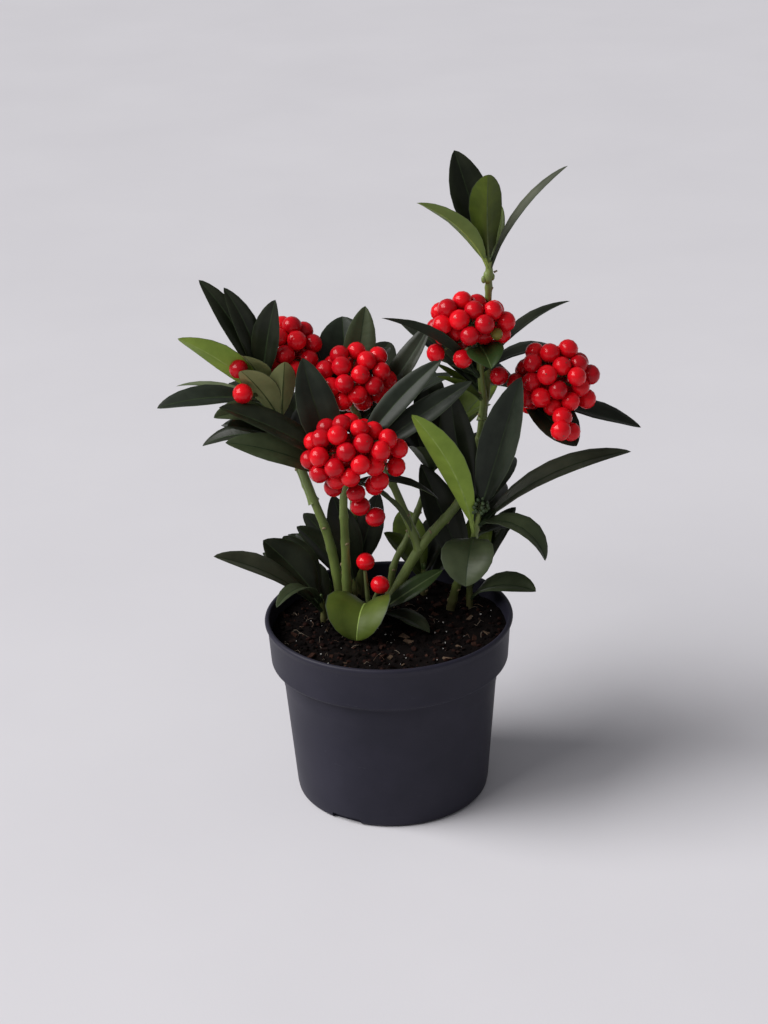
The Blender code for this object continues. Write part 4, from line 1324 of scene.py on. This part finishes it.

# %% [markdown]
# Side veins leave the rib at a slant. They are worked out from the blade's own map, which runs from root to
# tip and from margin to margin: a sine wave along the blade is delayed by the distance from the rib, and a
# power makes its crests into thin lines, which are pressed in. Dark blades are painted darker near their
# stalks: painted shade, for the shade that falls inside a whorl.

# %% Leaf skin
VEINS, VEIN_SLANT = 9.0, 7.0
UPPER_VEIN_DEPTH, UNDER_VEIN_DEPTH = 0.00003, 0.00002  # metres
STALK_PAINTED_SHADE = (0.0035, 0.0050, 0.0020)  # painted shade: how dark blades are near their stalks, where shade falls inside a whorl
LEAF_LIT = 0.09  # blades at least this green have no such shade
LEAF_GLOSS = 0.18


def maths(tree, kind, *values):
    """A maths node fed by sockets and numbers."""
    made = tree.nodes.new("ShaderNodeMath")
    made.operation = kind
    for socket, value in zip(made.inputs, values):
        if isinstance(value, (int, float)):
            socket.default_value = value
        else:
            tree.links.new(value, socket)
    return made.outputs["Value"]


def leaf_skin(name, dark, light, roughness, vein_depth):
    """Leaf skin with slanting side veins, and painted shade near the stalk of dark blades."""
    made = finish(name, dark, light, roughness, 70.0, 1500.0, 0.00003, Specular_IOR_Level=LEAF_GLOSS)
    tree = made.node_tree
    shader = tree.nodes["Principled BSDF"]
    where = node(tree, "ShaderNodeTexCoord")
    parts = node(tree, "ShaderNodeSeparateXYZ")
    tree.links.new(where.outputs["UV"], parts.inputs["Vector"])
    from_rib = maths(tree, "ABSOLUTE", maths(tree, "SUBTRACT", parts.outputs["Y"], 0.5))
    phase = maths(tree, "SUBTRACT", maths(tree, "MULTIPLY", parts.outputs["X"], VEINS * math.tau),
                  maths(tree, "MULTIPLY", from_rib, VEIN_SLANT))
    crest = maths(tree, "MULTIPLY_ADD", maths(tree, "SINE", phase), 0.5, 0.5)
    line = maths(tree, "POWER", crest, 4.0)
    # painted shade: dark blades darken towards their stalks, where shade falls inside a whorl
    if dark[1] < LEAF_LIT:
        veil(made, grey_ramp(tree, parts.outputs["X"], (0.0, 0.85), (0.5, 0.0)), STALK_PAINTED_SHADE)
    grain = maths(tree, "MULTIPLY", clouds(tree, place_of(tree), 420.0, 3.0), 0.35)
    bump(tree, shader, maths(tree, "SUBTRACT", grain, line), 0.8, vein_depth)
    return made


print(f"a leaf has {VEINS:.0f} side veins to each half")

# %% [markdown]
# The tones now become finishes. Ribs and margins are too narrow for veins, so they take plain ones.

# %% Leaf finishes
leaf_finishes = [leaf_skin("leaf_" + name, *tone, UPPER_VEIN_DEPTH) for name, tone in UPPER_TONES.items()]
leaf_finishes += [leaf_skin("leaf_" + name, *tone, UNDER_VEIN_DEPTH) for name, tone in UNDER_TONES.items()]
leaf_finishes += [finish("leaf_" + name, *tone, 300.0, 2400.0, 0.00003, Specular_IOR_Level=LEAF_GLOSS)
                  for name, tone in EDGE_TONES.items()]
finish_number = {name: i for i, name in enumerate([*UPPER_TONES, *UNDER_TONES, *EDGE_TONES])}
print(f"{len(leaf_finishes)} leaf finishes")

# %% [markdown]
# Each blade is a closed bar of fourteen sides cut into stations. Its corners are carried to the margins, the
# two halves and the rib, so the rib is a groove above and a ridge below, and the margin comes to a thin edge.

# %% Columns of a blade
STATIONS = (0.0, 0.05, 0.12, 0.20, 0.30, 0.42, 0.55, 0.67, 0.78, 0.87, 0.93, 0.975, 1.0)
EDGE_BAND = 0.968
HALF_BLADE = 0.5
COLUMNS = (1.0, EDGE_BAND, HALF_BLADE, "rib", "-rib", -HALF_BLADE, -EDGE_BAND, -1.0,
           -EDGE_BAND, -HALF_BLADE, "-rib", "rib", HALF_BLADE, EDGE_BAND)
FAR_MARGIN = 7
RIM_COLUMNS = ({0, 1}, {6, 7}, {7, 8}, {13, 0})
RIB_COLUMNS = ({3, 4}, {10, 11})


def column_place(number, half, t):
    """How far across the blade a column stands, from -1 to 1."""
    column = COLUMNS[number]
    if isinstance(column, float):
        return column
    rib = min(0.4, 0.5 * (1 - 0.6 * t) / max(half, 0.2))
    return -rib if column.startswith("-") else rib


def column_lift(number, v, t):
    """Height of a column above the blade's middle layer, in millimetres: thickness, groove and ridge."""
    if number in (0, FAR_MARGIN):
        return 0.0
    body = 0.22 * (1 - 0.4 * abs(v)) + 0.55 * max(0.0, 1 - t / 0.2)
    if number < FAR_MARGIN:
        return body - (0.16 * min(1.0, t / 0.15) if number in (3, 4) else 0.0)
    return -body - (0.5 * (1 - t) if number in (10, 11) else 0.0)


print(f"a blade has {len(COLUMNS)} columns and {len(STATIONS)} stations")

# %% [markdown]
# A blade is mapped from root to tip and from margin to margin, so that the veins find their way. The
# columns that a face spans say whether it is rib, margin, upper side or under side.

# %% Finishes over a blade
def colour_blade(shape, spots, kind):
    """Maps a blade from root to tip and from margin to margin, and gives each part its finish. Spots are the
    column, the share of the length and the place across of each vertex."""
    upper, under, rib, margin = KINDS[kind].split()
    map_layer = shape.loops.layers.uv.new("UVMap")
    for face in shape.faces:
        for loop in face.loops:
            _, t, v = spots[loop.vert]
            loop[map_layer].uv = (t, (v + 1) / 2)
        columns = {spots[vert][0] for vert in face.verts}
        stalk = max(spots[vert][1] for vert in face.verts) <= STALK_SHARE
        if stalk or len(columns) > 2 or columns in RIB_COLUMNS:
            part = rib
        elif columns in RIM_COLUMNS:
            part = margin
        else:
            part = upper if max(columns) < FAR_MARGIN else under
        face.material_index = finish_number[part]


print("rib, margin, upper side and under side are told apart")

# %% [markdown]
# One blade is the bar, with each corner carried to its station and column. The two halves are folded along
# the rib and swell a little, the margin waves, and the whole leaf bends slightly to one side.

# %% One fine blade
def fine_blade(leaf, root, kind, chance):
    """One leaf as shown, with its own slight sideways bend and wavy margin."""
    bend = chance.uniform(-0.03, 0.03) * leaf.length
    waves, ripple, phase = chance.uniform(1.2, 2.6), chance.uniform(0.15, 0.5), chance.uniform(0, math.tau)
    shape, rings = bar(len(COLUMNS), len(STATIONS))
    spots = {}
    for vert, ring in zip(shape.verts, rings):
        t = STATIONS[ring]
        number = round(math.atan2(vert.co.x, vert.co.y) / math.tau * len(COLUMNS)) % len(COLUMNS)
        point, across, up = leaf_frame(leaf, root, t)
        half = leaf_half_width(t, leaf.width) if t < 1 else 0.0
        v = column_place(number, half, t) if t < 1 else 0.0
        fold = math.radians(leaf.fold) * min(1.0, t / 0.3)
        lift = abs(v) * half * math.sin(fold) + 0.07 * half * math.sin(math.pi * abs(v))
        wave = math.sin(waves * math.tau * t + phase + (1.3 if v < 0 else 0.0))
        lift += ripple * v * v * wave * half / 8
        lift += column_lift(number, v, t) * (1 - t ** 6)
        vert.co = point + across * (v * half * math.cos(fold) + bend * math.sin(math.pi * t)) + up * lift
        spots[vert] = (number, t, v)
    colour_blade(shape, spots, kind)
    return closed(shape)


print(f"a fine blade has {(len(STATIONS) - 1) * len(COLUMNS)} sides")

# %% [markdown]
# The listed leaves take their kinds from rows, in the order of the leaves. The filling leaves draw theirs
# by chance, and most of them are dark. All of them are joined into one piece.

# %% All leaves
LISTED_KINDS = {
    "foliage_top": "dark moss lit slate",
    "foliage_crown": "shade shade dark mid dark shade moss moss",
    "foliage_right": "dark dark dark dark",
    "foliage_far_right": "blue dark young slate fern dark fern",
    "foliage_left": "dark dark shade young sage blue fern olive olive olive",
    "foliage_lower_left": "dark shade",
    "foliage_centre": "blue fern dark dark dark",
    "foliage_front": "blue fern dark blue dark dark blue",
    "foliage_back_right": "dark",
    "foliage_foot_left": "slate dark dark fern dark",
    "foliage_foot_back": "dark dark",
    "foliage_foot_front": "spring",
    "foliage_foot_middle": "mid",
    "foliage_foot_centre": "moss",
    "foliage_foot_right": "fern dark",
}
# shade is painted shade, and blue is in part a painted sheen
FILL_KINDS = ("dark", "dark", "dark", "blue", "shade", "shade", "moss")

blades = []
for name, placed in plan.items():
    chance = random.Random(name + " tones")
    listed = LISTED_KINDS.get(name, "").split()
    for leaf, root, number in placed["leaves"]:
        kind = listed[number] if number is not None else chance.choice(FILL_KINDS)
        blades.append(fine_blade(leaf, root, kind, chance))
make_piece("leaves", join(blades), leaf_finishes, [n for n in plan if plan[n]["leaves"]], 55)

# %% [markdown]
# ## Berries
#
# The berries are round, bright and very glossy, each on its own thin stalk, and many show a small dark tip
# where the flower's style stood. One berry is a half circle spun once round, with the last ring small enough
# to be that tip. It is copied to each place with its tip pointing away from its stalk.

# %% One berry, copied to every place
RED_DEEP, RED_BRIGHT, RED_FULL = (0.36, 0.0020, 0.008), (0.56, 0.0030, 0.010), (0.78, 0.006, 0.013)
BERRY_GLOSS = {"Specular_IOR_Level": 0.24}
BERRY_ANGLES = (-90, -64, -38, -13, 12, 36, 60, 85, 90)
BERRY_STEPS = 14
BERRY_SQUASH = 0.97
BRIGHT, DEEP, UNRIPE, TIP = range(4)  # the numbers of a berry's finishes

berry_finishes = [
    finish("berry_bright", RED_BRIGHT, RED_FULL, 0.18, 130.0, 900.0, 0.00001, **BERRY_GLOSS),
    finish("berry_deep", RED_DEEP, RED_BRIGHT, 0.20, 130.0, 900.0, 0.00001, **BERRY_GLOSS),
    finish("berry_unripe", (0.11, 0.15, 0.02), (0.24, 0.17, 0.035), 0.34, 130.0, 900.0, 0.00002,
           **BERRY_GLOSS),
    finish("berry_tip", (0.20, 0.012, 0.010), (0.34, 0.030, 0.020), 0.5, 600.0, 2500.0, 0.00003),
]
half_circle = [(math.cos(math.radians(a)), math.sin(math.radians(a)) * BERRY_SQUASH) for a in BERRY_ANGLES]
berry_mould = spun(half_circle, BERRY_STEPS)
tip_height = math.sin(math.radians(84)) * BERRY_SQUASH - 0.05


def fine_berry(middle, outward, size, skin, tipped):
    """A copy of the mould in its place, with a dark tip or without."""
    shape = berry_mould.copy()
    for face in shape.faces:
        at_tip = min(v.co.z for v in face.verts) > tip_height
        face.material_index = TIP if tipped and at_tip else skin
    turn = outward.to_track_quat("Z", "Y").to_matrix() @ Matrix.Diagonal((size, size, size * 0.96))
    return set_down(shape, middle, turn)


print(f"one berry has {len(berry_mould.faces)} faces")

# %% [markdown]
# The solid trusses hold fewer berries than the real ones, to spare faces. Here the main truss of each
# fruiting shoot is dealt out again with more, in the same reach: an outside layer, and a smaller heart that
# fills the middle. A berry that would press into a leaf is moved off it, and one that meets another truss is
# left out. The leaves' faces are kept in trees, which give the nearest point to a berry.

# %% Berries clear of leaves
MOVES = 12  # how often a berry is moved off the leaves before it is given up
PAST_STALK = 0.3  # of a leaf's length


def leaf_trees(owner):
    """Each leaf as a tree that finds its nearest point. The owner's leaves begin past their stalks."""
    return [BVHTree.FromBMesh(leaf_solid(leaf, root, 0.0, PAST_STALK if name == owner else 0.0))
            for name, placed in plan.items() for leaf, root, _ in placed["leaves"]]


def clear_of(spot, trees):
    """The spot moved just far enough from the leaves for a berry, or None."""
    for _ in range(MOVES):
        near, _, _, far = min((tree.find_nearest(spot) for tree in trees), key=lambda found: found[3])
        short = BERRY_RADIUS - far
        if short < 0.05:
            return spot
        spot = spot + (spot - near).normalized() * (short + 0.05)
    return None


print("berries can be moved off leaves")

# %% [markdown]
# Both layers are spread a little wide and then drawn together, so that neighbours press on each other as
# they do on the plant. The berries of small trusses stay as they are.

# %% Pack the trusses
# Berries outside and in the heart of a truss
PACKED = {"foliage_crown": (28, 6), "foliage_right": (32, 7), "foliage_left": (26, 5),
          "foliage_centre": (30, 5), "foliage_front": (40, 8), "foliage_back": (14, 3)}
PRESS = 0.93  # neighbours press on each other to this share of their width
HEART = 0.4  # size of the heart against its truss
NEAREST = 1.7  # berry radii that two middles are apart at the least

for owner, (outside, inside) in PACKED.items():
    first = SHOOTS[owner].trusses[0]
    middle = Vector(first.middle)
    trees = leaf_trees(owner)
    kept = [berry for berry in plan[owner]["berries"] if berry[2] != first]
    taken = [berry[0] for placed in plan.values() for berry in placed["berries"] if berry[2] != first]
    packed = []
    for count, share in ((outside, 1.0), (inside, HEART)):
        truss = first._replace(count=count, half=tuple(h * share / PRESS for h in first.half))
        for index, site in enumerate(truss_sites(truss)):
            spot = clear_of(middle + (site - middle) * PRESS, trees)
            if spot is None or any((spot - other).length < NEAREST * BERRY_RADIUS for other in taken):
                continue
            taken.append(spot)
            packed.append((spot, index, first._replace(count=count)))
    plan[owner]["berries"] = packed + kept
    print(f"{owner}: {len(packed)} berries in its truss")

# %% [markdown]
# The stalks leave the truss's stem lower and lower down. They curve upwards on their way and thicken under
# the fruit.

# %% Stalks
RACHIS_RADIUS = 1.3  # of the stem in the middle of a truss


def rachis(path, truss):
    """Both ends of the stem in the middle of a truss: from inside the shoot's tip to above its middle."""
    return path[-1] - Vector((0, 0, 1)), Vector(truss.middle) + Vector((0, 0, 0.3 * truss.half[2]))


def bent_stalk(foot, end):
    """A thin stalk that curves upwards on its way, thicker at the fruit."""
    span = end - foot
    middle = foot + span * 0.5 + Vector((0, 0, span.length * 0.16))
    path = [foot.lerp(middle, t).lerp(middle.lerp(end, t), t) for t in (0, 0.2, 0.4, 0.6, 0.8, 1.0)]
    return swept(path, (0.5, 0.42, 0.42, 0.45, 0.52, 0.66), 6)


print(f"the stem of a truss is {2 * RACHIS_RADIUS:.1f} mm thick at its foot")

# %% [markdown]
# A small cap holds each berry on its stalk. Each berry is drawn a little larger or smaller, brighter or
# deeper, and with its tip or without. One berry is still green, and smaller than the rest.

# %% All berries
UNRIPE_SPOT = Vector((50, 0, 224))  # the unripe berry is the nearest to this spot
UNRIPE_SIZE = 0.62
CAP_SIZE = (1.05, 1.05, 0.45)
BRIGHT_SHARE, TIP_SHARE = 0.7, 0.5  # of the berries

unripe = min((site for placed in plan.values() for site, _, _ in placed["berries"]),
             key=lambda site: (site - UNRIPE_SPOT).length)
fruit, stalks = [], []
for name, placed in plan.items():
    chance = random.Random(name + " fruit")
    for truss in SHOOTS[name].trusses:
        base, top = rachis(paths[name], truss)
        steps = [base.lerp(top, i / 5) for i in range(6)]
        stalks.append(swept(steps, [RACHIS_RADIUS * (1 - 0.09 * i) for i in range(6)], 8))
    for site, index, truss in placed["berries"]:
        base, top = rachis(paths[name], truss)
        foot = top.lerp(base, 0.75 * (index + 0.5) / truss.count)
        outward = (site - foot).normalized()
        size = BERRY_RADIUS * (UNRIPE_SIZE if site is unripe else chance.uniform(0.98, 1.06))
        skin = UNRIPE if site is unripe else (BRIGHT if chance.random() < BRIGHT_SHARE else DEEP)
        fruit.append(fine_berry(site, outward, size, skin, chance.random() < TIP_SHARE))
        stalks.append(bent_stalk(foot, site - outward * size * 0.85))
        turn = outward.to_track_quat("Z", "Y").to_matrix()
        stalks.append(lump(site - outward * size * 0.93, CAP_SIZE, turn))
berry_mould.free()
fruited = [name for name in plan if plan[name]["berries"]]
stalk_skin = finish("berry_stalk", (0.055, 0.070, 0.022), (0.115, 0.140, 0.048), 0.5, 220.0, 2400.0, 0.00006)
make_piece("berries", join(fruit), berry_finishes, fruited, 80)
make_piece("berry_stalks", join(stalks), [stalk_skin], fruited)

# %% [markdown]
# ## Flower buds
#
# Skimmias set next spring's flowers in autumn. The bare tip between the large upright leaves carries such a
# cluster: a short stem with rows of tiny round green buds.

# %% Cluster of flower buds
BUD_ROWS = ((5, 3.2), (7, 4.2), (7, 4.0), (6, 3.1), (4, 1.8), (1, 0.0))  # buds in a row, and how far out
BUD_RISE = 1.5  # from row to row

tip = paths["foliage_far_right"][-1]
buds = [paint(swept([tip + Vector((0, 0, rise)) for rise in (-1, 3, 7)], [1.0, 0.8, 0.5], 8), 1)]
for row, (count, wide) in enumerate(BUD_ROWS):
    for number in range(count):
        angle = math.tau * number / count + row * 0.7
        spot = tip + Vector((wide * math.cos(angle), wide * math.sin(angle), 1.2 + row * BUD_RISE))
        buds.append(paint(lump(spot, (0.95, 0.95, 1.05), None, 2), 0))
        buds.append(paint(swept([tip + Vector((0, 0, row * 1.1)), spot], [0.35, 0.3], 5), 1))
flower_green = finish("flower_bud", (0.020, 0.040, 0.014), (0.055, 0.090, 0.030), 0.5, 500.0, 2500.0, 0.00006)
make_piece("flower_buds", join(buds), [flower_green, stalk_skin], ["foliage_far_right"])

# %% [markdown]
# The fine plant has to stay in the box of the solid one. Both boxes are printed, to compare.

# %% Print both boxes
shown_low, shown_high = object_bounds()
for label, low, high in (("solid", solid_low, solid_high), ("fine", shown_low, shown_high)):
    print(label, [round(v / MM, 1) for v in low], [round(v / MM, 1) for v in high])
